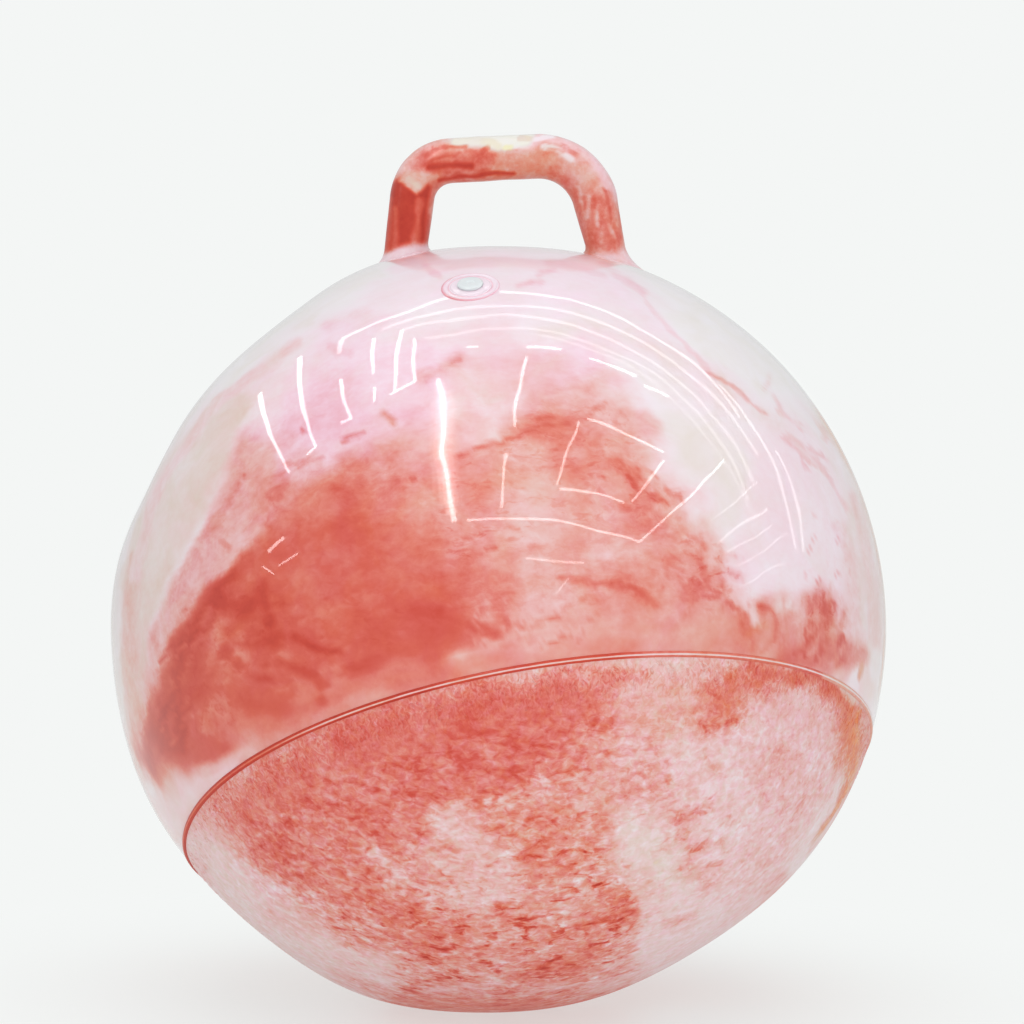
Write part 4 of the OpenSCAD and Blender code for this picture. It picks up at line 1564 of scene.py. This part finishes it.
@dataclass(frozen=True)
class CombMarks:
    """Short raised marks like a comb just below the seam, set out by Geometry Nodes, in metres."""

    form: BallForm
    marbling: Marbling
    vinyl: MarbledVinyl
    skin: Piece
    stations: int = 720
    count: int = 2000
    depth: float = 13.0 * MM
    length: float = 3.4 * MM
    width: float = 1.5 * MM
    height: float = 0.3 * MM
    stray: float = 8.5 * MM
    # Painted shade: how much darker the marks' pigment is than the skin, on top of the shading of their own
    # relief
    painted_shade: float = 0.03
    swing: float = 0.9
    smallest: tuple[float, float, float] = (0.45, 0.7, 0.7)
    largest: tuple[float, float, float] = (1.3, 1.2, 1.2)
    seed: int = 8

    def tree(self) -> Tree:
        """Builds the tree that sets marks on the skin along a line below the seam.

        Returns:
            The tree.
        """
        tree, add, given = start_tree("comb_marks", [
            ("Skin", "NodeSocketObject", None), ("Count", "NodeSocketInt", 400),
            ("Length", "NodeSocketFloat", 5 * MM), ("Width", "NodeSocketFloat", 1 * MM),
            ("Height", "NodeSocketFloat", 0.3 * MM), ("Stray", "NodeSocketFloat", 2 * MM),
            ("Centre", "NodeSocketVector", (0.0, 0.0, 0.0)), ("Seed", "NodeSocketInt", 1),
            ("Material", "NodeSocketMaterial", None)])
        path = add("GeometryNodeMeshToCurve", {"Mesh": given["Geometry"]})
        points = add("GeometryNodeCurveToPoints", {"Curve": path, "Count": given["Count"]}, mode="COUNT")
        low = add("ShaderNodeVectorMath", {
            0: (-1.0, -1.0, -1.0), "Scale": given["Stray"]}, operation="SCALE")
        high = add("ShaderNodeVectorMath", {
            0: (1.0, 1.0, 1.0), "Scale": given["Stray"]}, operation="SCALE")
        stray = add("FunctionNodeRandomValue", {
            0: low, 1: high, "Seed": given["Seed"]}, data_type="FLOAT_VECTOR")
        strewn = add("GeometryNodeSetPosition", {"Geometry": points, "Offset": stray})
        skin = add("GeometryNodeObjectInfo", {"Object": given["Skin"]})
        nearest = add("GeometryNodeProximity", {0: skin.outputs["Geometry"]}, target_element="FACES")
        laid = add("GeometryNodeSetPosition", {"Geometry": strewn, "Position": nearest})
        place = add("GeometryNodeInputPosition").outputs["Position"]
        normal = add("ShaderNodeVectorMath", {
            0: place, 1: given["Centre"]}, operation="SUBTRACT").outputs["Vector"]
        across = add("ShaderNodeVectorMath", {
            0: points.outputs["Tangent"], 1: normal}, operation="CROSS_PRODUCT").outputs["Vector"]
        upright = add("FunctionNodeAlignRotationToVector", {"Vector": normal}, axis="Z")
        facing = add("FunctionNodeAlignRotationToVector", {
            "Rotation": upright, "Vector": across}, axis="X", pivot_axis="Z")
        yaw = add("FunctionNodeRandomValue", {
            0: (0.0, 0.0, -self.swing), 1: (0.0, 0.0, self.swing), "Seed": given["Seed"]},
            data_type="FLOAT_VECTOR")
        turned = add("FunctionNodeRotateRotation", {
            "Rotation": facing, "Rotate By": yaw}, rotation_space="LOCAL")
        mark = add("GeometryNodeMeshUVSphere", {"Segments": 8, "Rings": 5, "Radius": 0.5})
        size = add("ShaderNodeCombineXYZ", {
            "X": given["Length"], "Y": given["Width"], "Z": given["Height"]})
        spread = add("FunctionNodeRandomValue", {
            0: self.smallest, 1: self.largest, "Seed": given["Seed"]}, data_type="FLOAT_VECTOR")
        scaled = add("ShaderNodeVectorMath", {0: size, 1: spread}, operation="MULTIPLY")
        set_out = add("GeometryNodeInstanceOnPoints", {
            "Points": laid, "Instance": mark, "Rotation": turned, "Scale": scaled})
        finish_tree(add, set_out, given["Material"])
        return tree

    def build(self) -> Piece:
        """Makes the marks, with painted shade that leaves them a little darker than the skin between them.

        Returns:
            The marks, as one piece.
        """
        turns = np.arange(self.stations) * 2 * math.pi / self.stations
        angle = self.form.seam_angle + self.depth / self.form.radius
        path = self.form.surface(self.form.seam_ways(angle, turns))
        material = self.vinyl.build()
        piece = new_piece("comb_marks", path_mesh("comb_marks", path), material)
        node_modifier(piece, self.tree(), {
            "Skin": self.skin, "Count": self.count, "Length": self.length, "Width": self.width,
            "Height": 2 * self.height, "Stray": self.stray, "Centre": self.form.centre,
            "Seed": self.seed, "Material": material})
        hardened(piece)
        self.marbling.paint(piece.data)
        # Painted shade: the marks' pigment is made a little darker than the skin's
        tone = read_values(piece.data, "pigment") + self.painted_shade
        store_values(piece.data, "pigment", np.clip(tone, 0.0, 1.0))
        keep_seam_place(piece.data, self.form)
        settle(piece, BALL_BODY)
        return piece


class Side(Enum):
    """The two legs of the hand loop."""

    LEFT = -1
    RIGHT = 1


@dataclass(frozen=True)
class Leg:
    """One leg of the hand loop with its bend. Lengths are in metres."""

    side: Side
    radius: float
    bend: float
    outer_spread: float
    outer_climb: float


@dataclass(frozen=True)
class HandLoop:
    """The hollow hand loop, moulded with the skin: two splayed legs, two bends and the grip bar."""

    form: BallForm
    marbling: Marbling
    vinyl: MarbledVinyl
    grip: float = 13.0 * MM
    rise: float = 49.5 * MM
    spread: float = 116.0 * MM
    splay: float = math.radians(10.0)
    lean: float = math.radians(3.5)
    foot_spread: float = 4.0 * MM
    foot_climb: float = 6.0 * MM
    sink: float = 0.5 * MM
    around: int = 96
    foot_steps: int = 14
    leg_steps: int = 22
    bend_steps: int = 30
    bar_steps: int = 44
    lump: float = 0.22 * MM
    lump_cell: float = 16.0 * MM
    lump_span: tuple[float, float] = (4.0 * MM, 16.0 * MM)
    fade: float = 40.0 * MM
    left: Leg = Leg(Side.LEFT, 12.4 * MM, 24.5 * MM, 4.0 * MM, 7.0 * MM)
    right: Leg = Leg(Side.RIGHT, 11.2 * MM, 34.0 * MM, 11.0 * MM, 12.0 * MM)

    def reach(self, leg: Leg) -> float:
        """Gives the length that a bend takes from its leg and from the bar."""
        return leg.bend * math.tan((math.pi / 2 - self.splay) / 2)

    def leg_point(self, leg: Leg, out: float, back: float, up: float | None) -> Vector:
        """Gives a point about a leg, in the loop's own frame with its origin at the crown.

        Args:
            leg: The leg.
            out: How far outwards of the leg's middle line it lies.
            back: How far behind that line it lies.
            up: How far up the leg it lies, or None for where it meets the ball.

        Returns:
            The point.
        """
        tilt = self.splay + leg.side.value * self.lean
        if up is None:
            inwards = self.spread / 2 * math.cos(self.splay) + self.form.radius * math.sin(tilt)
            down = self.form.radius * math.cos(tilt) - self.spread / 2 * math.sin(self.splay)
            up = math.sqrt(self.form.radius ** 2 - (inwards + out) ** 2 - back ** 2) - down
        side = leg.side.value * (self.spread / 2 + out * math.cos(self.splay) - up * math.sin(self.splay))
        return Vector((side, back, out * math.sin(self.splay) + up * math.cos(self.splay)))

    def foot_rings(self, leg: Leg) -> list[list[Vector]]:
        """Gives the rings of a foot, from under the skin to where it has run into the leg.

        Args:
            leg: The foot's leg.

        Returns:
            The rings.
        """
        rings = []
        for i in range(-1, self.foot_steps + 1):
            climb = max(i, 0) / self.foot_steps * math.pi / 2
            ring = []
            for turn in (2 * math.pi * k / self.around for k in range(self.around)):
                outer = max(0.0, math.cos(turn)) ** 2
                spread = self.foot_spread + (leg.outer_spread - self.foot_spread) * outer
                rise = self.foot_climb + (leg.outer_climb - self.foot_climb) * outer
                radius = leg.radius + spread * (1 - math.sin(climb))
                out, back = radius * math.cos(turn), radius * math.sin(turn)
                foot = self.leg_point(leg, out, back, None)
                up = self.leg_point(leg, out, back, 0.0)
                level = (foot - up).length * (1 if foot.z > up.z else -1)
                height = -2 * self.sink if i < 0 else rise * (1 - math.cos(climb)) - 0.3 * self.sink
                ring.append(self.leg_point(leg, out, back, level + height))
            rings.append(ring)
        return rings

    def bend_rings(self, leg: Leg) -> list[list[Vector]]:
        """Gives the rings of a bend, from the top of the leg to the bar.

        Args:
            leg: The bend's leg.

        Returns:
            The rings.
        """
        middle = self.spread / 2 - self.rise * math.tan(self.splay) - self.reach(leg)
        rings = []
        for i in range(self.bend_steps + 1):
            turn = self.splay + (math.pi / 2 - self.splay) * i / self.bend_steps
            ring = []
            for k in range(self.around):
                angle = 2 * math.pi * k / self.around
                reach = leg.bend + self.grip * math.cos(angle)
                ring.append(Vector((leg.side.value * (middle + reach * math.cos(turn)),
                                    self.grip * math.sin(angle),
                                    self.rise - leg.bend + reach * math.sin(turn))))
            rings.append(ring)
        return rings

    def half(self, leg: Leg) -> list[list[Vector]]:
        """Gives all rings of one side, from its foot to its end of the bar.

        Args:
            leg: The side's leg.

        Returns:
            The rings.
        """
        foot, bend = self.foot_rings(leg), self.bend_rings(leg)
        between = [[a.lerp(b, i / self.leg_steps) for a, b in zip(foot[-1], bend[0])]
                   for i in range(1, self.leg_steps)]
        return [*foot, *between, *bend]

    def build(self) -> Piece:
        """Makes the loop, painted and dressed.

        Returns:
            The loop.
        """
        left, right = self.half(self.left), self.half(self.right)
        bar = [[a.lerp(b, i / self.bar_steps) for a, b in zip(left[-1], right[-1])]
               for i in range(1, self.bar_steps)]
        crown = self.form.centre + Vector((0.0, 0.0, self.form.radius))
        place = Matrix.Translation(crown) @ Matrix.Rotation(-self.lean, 4, "Y")
        rings = np.array([[place @ point for point in ring] for ring in [*left, *bar, *right[::-1]]])
        shape = rings.shape
        points = rings.reshape(-1, 3)
        middles = np.repeat(rings.mean(axis=1), self.around, axis=0)
        outwards = (points - middles) / np.linalg.norm(points - middles, axis=1)[:, None]
        height = np.linalg.norm(points - np.array(self.form.centre), axis=1) - self.form.radius
        lumps = self.lump * cloud_noise(points, self.lump_cell, seed=9, layers=2)
        lumps *= ease(*self.lump_span, height)
        points = self.form.fitted(points, self.fade) + outwards * lumps[:, None]
        rings = points.reshape(shape)
        mesh = ring_mesh("handle_dressed", rings, rings[0].mean(axis=0), rings[-1].mean(axis=0))
        piece = new_piece("handle_dressed", mesh, self.vinyl.build())
        self.marbling.paint(piece.data, round_back=False)
        keep_seam_place(piece.data, self.form)
        settle(piece, BALL_BODY, ["handle"])
        return piece


@dataclass(frozen=True)
class Valve:
    """The soft bush in the skin and the white plug in its bore. Lengths are in metres."""

    form: BallForm
    vinyl: MarbledVinyl
    plastic: PlugPlastic
    pad: float = 16.0 * MM
    lip: float = 1.3 * MM
    lip_height: float = 0.5 * MM
    proud: float = 0.16 * MM
    ring: tuple[float, float, float] = (12.6 * MM, 12.2 * MM, 11.7 * MM)
    ring_rise: float = 0.25 * MM
    boss: float = 11.0 * MM
    boss_height: float = 0.7 * MM
    bore: float = 4.5 * MM
    barrel: float = 8.5 * MM
    barrel_length: float = 15.0 * MM
    thickness: float = 2.4 * MM
    head: float = 7.3 * MM
    head_height: float = 1.9 * MM
    shank: float = 4.45 * MM
    shank_length: float = 18.0 * MM
    tip_length: float = 4.0 * MM
    tip: float = 3.3 * MM
    groove_start: float = 4.0 * MM
    groove_pitch: float = 3.4 * MM
    groove_width: float = 1.4 * MM
    groove_depth: float = 0.45 * MM
    core: float = 1.9 * MM
    gap: float = 0.05 * MM
    around: int = 128

    @property
    def place(self) -> Matrix:
        """Takes the Z axis to the valve's axis, with its origin on the ball's surface.

        Returns:
            The matrix.
        """
        turn = self.form.valve_axis.to_track_quat("Z", "Y").to_matrix().to_4x4()
        centre = Matrix.Translation(self.form.centre) @ turn
        return centre @ Matrix.Translation(Vector((0.0, 0.0, self.form.radius)))

    def on_skin(self, radius: float, height: float) -> tuple[float, float]:
        """Gives a profile point at a height above the round skin."""
        return radius, math.sqrt(self.form.radius ** 2 - radius ** 2) - self.form.radius + height

    def bush(self) -> Piece:
        """Makes the bush: pad, lip, boss and barrel, bored through.

        Returns:
            The bush.
        """
        outline = [
            self.on_skin(self.pad - 0.4 * MM, -self.thickness),
            self.on_skin(self.pad + 0.1 * MM, -self.thickness),
            self.on_skin(self.pad + 0.35 * MM, -0.1 * MM),
            self.on_skin(self.pad - 0.1 * MM, self.lip_height),
            self.on_skin(self.pad - self.lip + 0.1 * MM, self.lip_height),
            self.on_skin(self.pad - self.lip - 0.3 * MM, self.proud),
            self.on_skin(self.ring[0], self.proud), self.on_skin(self.ring[1], self.proud + self.ring_rise),
            self.on_skin(self.ring[2], self.proud), self.on_skin(self.boss + 0.1 * MM, self.proud),
            self.on_skin(self.boss - 0.2 * MM, self.boss_height),
            (self.bore + 0.15 * MM, self.boss_height), (self.bore, self.boss_height - 0.15 * MM),
            (self.bore, -self.barrel_length), (self.barrel, -self.barrel_length),
            (self.barrel, -self.thickness - 0.6 * MM), self.on_skin(self.barrel + 0.8 * MM, -self.thickness)]
        profile = rounded([*outline, outline[0]], 0.28 * MM, 3)
        turns = np.arange(self.around) * 2 * math.pi / self.around
        loop = np.array([[self.place @ Vector((r * math.cos(t), r * math.sin(t), h)) for t in turns]
                         for r, h in profile[:-1]])
        count = len(loop)
        faces = [(k * self.around + i, k * self.around + (i + 1) % self.around,
                  (k + 1) % count * self.around + (i + 1) % self.around, (k + 1) % count * self.around + i)
                 for k in range(count) for i in range(self.around)]
        mesh = bpy.data.meshes.new("valve_bush_dressed")
        mesh.from_pydata(loop.reshape(-1, 3).tolist(), [], faces)
        finish_mesh(mesh)
        piece = new_piece("valve_bush_dressed", mesh, self.vinyl.build())
        self.tint(piece.data)
        keep_seam_place(piece.data, self.form)
        settle(piece, BALL_BODY, ["valve_bush"])
        return piece

    def tint(self, mesh: Mesh) -> None:
        """Gives the bush its pale paste, pinker in a band just outside the lip, heavier towards one side, and
        at the inner ring.

        Args:
            mesh: The bush's mesh.
        """
        local = np.array([self.place.inverted() @ v.co for v in mesh.vertices])
        radius = np.hypot(local[:, 0], local[:, 1]) / MM
        # Pinker in a band just outside the lip, most round one turn, and in a line at the inner ring
        heaviest_turn, lip, ring = math.radians(215), 15.9, 12.2
        share = 0.5 + 0.5 * np.cos(np.arctan2(local[:, 1], local[:, 0]) - heaviest_turn)
        tone = 0.13 + (0.12 + 0.22 * share) * np.exp(-((radius - lip) / (0.45 + 0.55 * share)) ** 2)
        tone += 0.16 * np.exp(-((radius - ring) / 0.5) ** 2)
        tone += 0.03 * cloud_noise(local / MM, cell=8.0, seed=70)
        store_values(mesh, "pigment", np.clip(tone, 0.0, 1.0))
        store_values(mesh, "warmth", np.full(len(tone), -0.9))

    def plug(self) -> Piece:
        """Makes the plug: a low domed head, a grooved shank and a tapered, hollow tip.

        Returns:
            The plug.
        """
        base = self.boss_height + self.gap
        top, end = base + self.head_height, base - self.shank_length
        profile = [(0.0, top - 0.25 * MM), (1.5 * MM, top - 0.25 * MM), (2.1 * MM, top),
                   (self.head - 1.3 * MM, top - 0.1 * MM), (self.head - 0.35 * MM, top - 0.55 * MM),
                   (self.head, top - 1.1 * MM), (self.head - 0.2 * MM, base), (self.shank + 0.1 * MM, base)]
        for i in range(3):
            start = base - self.groove_start - i * self.groove_pitch
            inner = self.shank - self.groove_depth
            stop = start - self.groove_width
            profile += [(self.shank, start), (inner, start - 0.2 * MM), (inner, stop + 0.2 * MM),
                        (self.shank, stop)]
        profile += [(self.shank, end + self.tip_length), (self.tip, end), (self.core, end),
                    (self.core, top - 2.6 * MM), (0.0, top - 2.6 * MM)]
        mesh = revolved_mesh("valve_plug_dressed", rounded(profile, 0.3 * MM, 3), self.place, self.around)
        piece = new_piece("valve_plug_dressed", mesh, self.plastic.build())
        settle(piece, PLUG_BODY, ["valve_plug"])
        return piece


@dataclass(frozen=True)
class TubeLamp:
    """A thin tube lamp, placed by where the glossy skin mirrors it in the photograph.

    Attributes:
        path: Places in the picture along its mirrored image, in millimetres.
        thickness: Width of the mirrored line, in millimetres.
        radiance: Its brightness.
    """

    path: tuple[tuple[float, float], ...]
    thickness: float
    radiance: float


# Each row has a lamp's thickness, its radiance, and right and up of each of its places
TUBE_LAMPS = [TubeLamp(spots_of(path), thickness, radiance) for thickness, radiance, *path in (
    (1.6, 16, -140, 137, -133, 112, -122, 90), (1.8, 16, -117, 158, -114, 127, -108, 106),
    (1.2, 16, -108, 106, -113, 101), (1.8, 16, -92, 145, -87, 122), (1.2, 16, -87, 122, -93, 119),
    (1.6, 16, -74, 168, -74, 148), (1.6, 16, -73, 141, -74, 131), (1.8, 16, -58, 173, -61, 150, -61, 138),
    (1.5, 16, -50, 167, -52, 143, -64, 136), (2.6, 20, -35, 145, -33, 100, -27, 62),
    (6, 6, -35, 143, -33, 100, -28, 66), (11, 4, -34, 138, -33, 100, -29, 72),
    (17, 2.6, -34, 132, -33, 100, -31, 80), (1.8, 16, 15, 158, 7, 116), (1.5, 16, 3, 102, 1, 70),
    (1.4, 16, 15, 164, 35, 162), (1.2, 16, -19, 164, -11, 165), (1.4, 16, 52, 157, 80, 145),
    (1.2, 16, 85, 140, 97, 134), (1.3, 16, 47, 120, 33, 84), (1.3, 16, 35, 82, 54, 78, 72, 73),
    (1.5, 16, 77, 74, 97, 97), (1.4, 16, 53, 122, 76, 112, 97, 102),
    (1.3, 16, -20, 63, 20, 62, 50, 59, 81, 49), (1.3, 16, 81, 49, 106, 74, 131, 98),
    (0.9, 12, 15, 40, 48, 37), (0.8, 8, 32, 20, 40, 30), (1.6, 16, -135, 44, -126, 52),
    (0.8, 16, -129, 36, -118, 43), (1, 16, -139, 35, -132, 30),
    (1.4, 6, -93, 160, -92, 168, -60, 182, -22, 194),
    (1.3, 4.5, 0, 196, 40, 192, 80, 176, 118, 150, 140, 122),
    (1.6, 3.4, -70, 173, -20, 186, 30, 186, 80, 168, 120, 140, 150, 100),
    (1.6, 3.4, -58, 173, -10, 181, 36, 178, 84, 158, 124, 124, 148, 84),
    (1.5, 3, -44, 168, 0, 174, 40, 170, 88, 148, 126, 112, 146, 74),
    (1.3, 2.6, 20, 170, 60, 160, 100, 132, 132, 96, 150, 60),
    (1.3, 4, 128, 142, 152, 110, 168, 70, 172, 45), (1.2, 3.6, 160, 104, 174, 70, 176, 44),
    (0.9, 5, 122, 60, 150, 84), (1.1, 6, 127, 49, 155, 70), (0.9, 5, 130, 42, 158, 60),
    (0.9, 4.5, 138, 36, 168, 54), (0.9, 4, 134, 22, 166, 38),
)]


@dataclass(frozen=True)
class Studio:
    """A pale floor, a pale surround, soft lamps and the photograph's camera.

    Attributes:
        form: The ball's form.
        view: The photograph's viewpoint.
        lamp_distance: How far from the skin the tube lamps hang, in metres.
        floor_size: Half the floor's width.
        paper: Colour of the floor and the surround.
        paper_roughness: Its roughness.
        paper_shine: Strength of its shine.
        bounce: How much of the light that the floor sends up is its own.
        soft_light: Strength of the surround as a light.
        mirrored_light: Its strength where the gloss mirrors it.
        shade_span: How far from the ball's foot its shadow starts and stops to fade.
        shade_glow: How much of the floor under the ball shows no shadow.
    """

    form: BallForm
    view: Viewpoint
    lamp_distance: float = 2.4
    floor_size: float = 30.0
    paper: str = "#F4F6F5"
    paper_roughness: float = 0.9
    paper_shine: float = 0.2
    bounce: float = 0.45
    soft_light: float = 0.68
    mirrored_light: float = 0.8
    shade_span: tuple[float, float] = (0.06, 0.44)
    shade_glow: float = 0.6

    def camera(self) -> None:
        """Puts the camera at the photograph's viewing angle and framing."""
        view = self.view
        right, up, towards = view.axes()
        offset_x = view.picture_px / 2 - view.centre_px[0]
        offset_y = view.centre_px[1] - view.picture_px / 2
        ahead = (-towards + (right * offset_x + up * offset_y) / view.focal_px).normalized()
        side = ahead.cross(up).normalized()
        turn = Matrix((side, side.cross(ahead), -ahead)).transposed()
        data = bpy.data.cameras.new("photo_camera")
        data.sensor_width = view.sensor_mm
        data.lens = view.sensor_mm * view.focal_px / view.picture_px
        data.clip_start, data.clip_end = 0.05, 100.0
        camera = bpy.data.objects.new("photo_camera", data)
        camera.matrix_world = Matrix.Translation(view.place) @ turn.to_4x4()
        bpy.context.scene.collection.objects.link(camera)
        bpy.context.scene.camera = camera

    def lamp(self, name: str, place: Vector, aim: Vector, along: Vector, size: tuple[float, float],
             radiance: float) -> Piece:
        """Adds a rectangular lamp.

        Args:
            name: Its name.
            place: Its middle.
            aim: The point that it faces.
            along: The direction of its first side.
            size: The lengths of its sides, in metres.
            radiance: Its brightness.

        Returns:
            The lamp.
        """
        data = bpy.data.lights.new(name, "AREA")
        data.shape = "RECTANGLE"
        data.size, data.size_y = size
        data.energy = radiance * math.pi * size[0] * size[1]
        lamp = bpy.data.objects.new(name, data)
        back = (place - aim).normalized()
        first = (along - along.dot(back) * back).normalized()
        turn = Matrix((first, back.cross(first), back)).transposed()
        lamp.matrix_world = Matrix.Translation(place) @ turn.to_4x4()
        lamp.visible_camera = False
        lamp.visible_glossy = False
        bpy.context.scene.collection.objects.link(lamp)
        return lamp

    def mirrored(self, spot: tuple[float, float]) -> tuple[Vector, Vector]:
        """Finds what the skin mirrors at a place in the picture.

        Args:
            spot: The place in the picture.

        Returns:
            The point of the skin, and the point in the room that it mirrors.
        """
        touch = self.view.on_ball(*spot)
        normal = (touch - self.form.centre).normalized()
        ray = (touch - self.view.place).normalized()
        return touch, touch + (ray - 2 * ray.dot(normal) * normal) * self.lamp_distance

    def tube(self, number: int, tube: TubeLamp) -> None:
        """Hangs a tube lamp, in straight lengths, where its mirrored image belongs.

        Args:
            number: The lamp's number.
            tube: The lamp.
        """
        for part, (first, last) in enumerate(zip(tube.path, tube.path[1:])):
            (near, a), (_, b) = self.mirrored(first), self.mirrored(last)
            along = (Vector(last) - Vector(first)).normalized() * tube.thickness / 2
            middle = (Vector(first) + Vector(last)) / 2
            sides = [self.mirrored((middle.x + k * along.y, middle.y - k * along.x))[1] for k in (-1, 1)]
            lamp = self.lamp(f"tube_{number}_{part}", (a + b) / 2, near, b - a,
                             ((b - a).length, (sides[1] - sides[0]).length), tube.radiance)
            lamp.visible_diffuse, lamp.visible_glossy = False, True

    def surround(self) -> None:
        """Makes the pale world and the pale floor."""
        world = bpy.data.worlds.new("pale_surround")
        bpy.context.scene.world = world
        world.use_nodes = True
        world.node_tree.nodes.clear()
        add = partial(add_node, world.node_tree)
        path = add("ShaderNodeLightPath")
        unseen = add("ShaderNodeMapRange", {
            "Value": path.outputs["Is Glossy Ray"], "To Min": self.soft_light,
            "To Max": self.mirrored_light})
        strength = add("ShaderNodeMapRange", {
            "Value": path.outputs["Is Camera Ray"], "To Min": unseen, "To Max": 1.0})
        sky = add("ShaderNodeBackground", {"Color": linear_colour(self.paper), "Strength": strength})
        add("ShaderNodeOutputWorld", {"Surface": sky})
        self.floor()

    def floor(self) -> None:
        """Makes the floor, which keeps the ball's shadow and fades into the surround."""
        size = self.floor_size
        mesh = bpy.data.meshes.new("floor")
        mesh.from_pydata([(-size, -size, 0), (size, -size, 0), (size, size, 0), (-size, size, 0)],
                         [], [(0, 1, 2, 3)])
        material, add, place = start_material("matte_white_paper")
        away = add("ShaderNodeVectorMath", {0: place}, operation="LENGTH").outputs["Value"]
        fade = add("ShaderNodeMapRange", {
            "Value": away, "From Min": self.shade_span[0], "From Max": self.shade_span[1],
            "To Min": self.shade_glow, "To Max": 1.0}, interpolation_type="SMOOTHSTEP").outputs["Result"]
        path = add("ShaderNodeLightPath")
        share = add("ShaderNodeMix", {0: path.outputs["Is Camera Ray"], 2: self.bounce, 3: fade})
        plain = add("ShaderNodeBsdfPrincipled", {
            "Base Color": linear_colour(self.paper), "Roughness": self.paper_roughness,
            "Specular IOR Level": self.paper_shine})
        glow = add("ShaderNodeEmission", {"Color": linear_colour(self.paper), "Strength": 1.0})
        mixed = add("ShaderNodeMixShader", {0: share, 1: plain, 2: glow})
        add("ShaderNodeOutputMaterial", {"Surface": mixed})
        new_piece("floor", mesh, material)

    def build(self) -> None:
        """Makes the camera, the surround and the lamps."""
        self.camera()
        self.surround()
        centre, level = self.form.centre, Vector((1.0, 0.0, 0.0))
        self.lamp("overhead", Vector((0.0, -0.6, 3.0)), centre, level, size=(2.6, 2.6), radiance=1.38)
        self.lamp("front_left", Vector((-2.2, -2.6, 1.5)), centre, level, size=(1.6, 1.6), radiance=1.35)
        self.lamp("front_right", Vector((2.6, -2.2, 1.2)), centre, level, size=(1.6, 1.6), radiance=1.15)
        self.lamp("front_low", Vector((0.2, -2.0, 0.1)), Vector((0.0, 0.0, 0.05)), level,
                  size=(2.6, 0.3), radiance=3.6)
        for number, tube in enumerate(TUBE_LAMPS):
            self.tube(number, tube)
        bpy.context.scene.view_settings.view_transform = "Standard"
        log.info("studio with %d tube lamps", len(TUBE_LAMPS))


def main() -> None:
    """Builds the pieces in order and reports each one."""
    logging.basicConfig(level=logging.INFO, format="%(message)s")
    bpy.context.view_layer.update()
    form = BallForm.from_frame()
    view = Viewpoint(form.centre, form.radius)
    smooth = MarbledVinyl(
        "smooth_marbled_pvc", roughness=0.32, gloss=1.0, mottle=SMOOTH_MOTTLE, grain_mm=60.0,
        grain_depth=0.05 * MM, flecks=(
            Fleck(34.0, 1.0, 0.11, detail=7.0), Fleck(13.0, 1.9, 0.06, Course.FLOW, 5.0),
            Fleck(4.6, 2.0, 0.24, Course.FLOW, 3.0, 0.5, True),
            Fleck(4.2, 1.7, 0.05, Course.FLOW, 4.0, 0.4), Fleck(2.6, 1.0, 0.012)))
    pebbled = MarbledVinyl(
        "pebbled_marbled_pvc", roughness=0.46, gloss=0.12, mottle=PEBBLED_MOTTLE, grain_mm=2.4,
        grain_depth=0.34 * MM, gloss_roughness=0.2, swirl=2.5 * MM, flow_tilt=20.0, hue_mm=5.0,
        hue_swing=0.36, flecks=(
            Fleck(24.0, 1.0, 0.07, detail=5.0), Fleck(9.0, 1.7, 0.09, Course.FLOW, 4.0, 0.6),
            Fleck(3.6, 1.5, 0.13, Course.FLOW, 3.0, 0.6), Fleck(2.8, 1.3, 0.12, Course.COMB, 2.0, 1.3),
            Fleck(6.5, 1.8, 0.42, Course.FLOW, 3.0, 0.6, True),
            Fleck(5.0, 1.7, -0.16, Course.FLOW, 2.0, 0.8, True)))
    beaded = MarbledVinyl(
        "bead_pvc", roughness=0.44, gloss=0.15, mottle=SMOOTH_MOTTLE, grain_mm=4.0,
        grain_depth=0.03 * MM, gloss_roughness=0.15, flecks=(Fleck(3.0, 1.0, 0.05),))
    handled = MarbledVinyl(
        "hand_loop_pvc", roughness=0.36, gloss=0.45, mottle=SMOOTH_MOTTLE, grain_mm=2.2,
        grain_depth=0.05 * MM, gloss_roughness=0.16, swirl=3.0 * MM,
        flecks=(Fleck(8.0, 1.0, 0.10, detail=5.0), Fleck(2.4, 1.0, 0.04)))
    bushed = MarbledVinyl(
        "valve_bush_pvc", roughness=0.32, gloss=0.8, mottle=SMOOTH_MOTTLE, grain_mm=3.0,
        grain_depth=0.02 * MM, flecks=(Fleck(4.0, 1.0, 0.02),))
    upper = Marbling(view, tone=0.14, warmth=0.15, strokes=UPPER_STROKES, specks=UPPER_SPECKS,
                     back_tone=0.42, back_swing=0.62)
    lower = Marbling(view, tone=0.36, warmth=0.15, strokes=LOWER_STROKES, specks=LOWER_SPECKS,
                     back_tone=0.46, back_swing=0.46, speck_floor=0.4, seed=40)
    Skin("upper_skin", form, upper, smooth, "smooth_vinyl", upper=True, around=470,
         spacing=2.55 * MM).build()
    skin = Skin("lower_skin", form, lower, pebbled, "pebbled_vinyl", upper=False, around=520,
                spacing=2.2 * MM).build()
    Bead(form, Marbling(view, tone=0.7, warmth=0.4, strokes=BEAD_STROKES), beaded).build()
    CombMarks(form, lower, pebbled, skin).build()
    grip = Marbling(view, tone=0.45, warmth=0.4, strokes=HANDLE_STROKES, seed=70)
    HandLoop(form, grip, handled).build()
    valve = Valve(form, bushed, PlugPlastic())
    valve.bush()
    valve.plug()
    Studio(form, view).build()


if __name__ == "__main__":
    main()
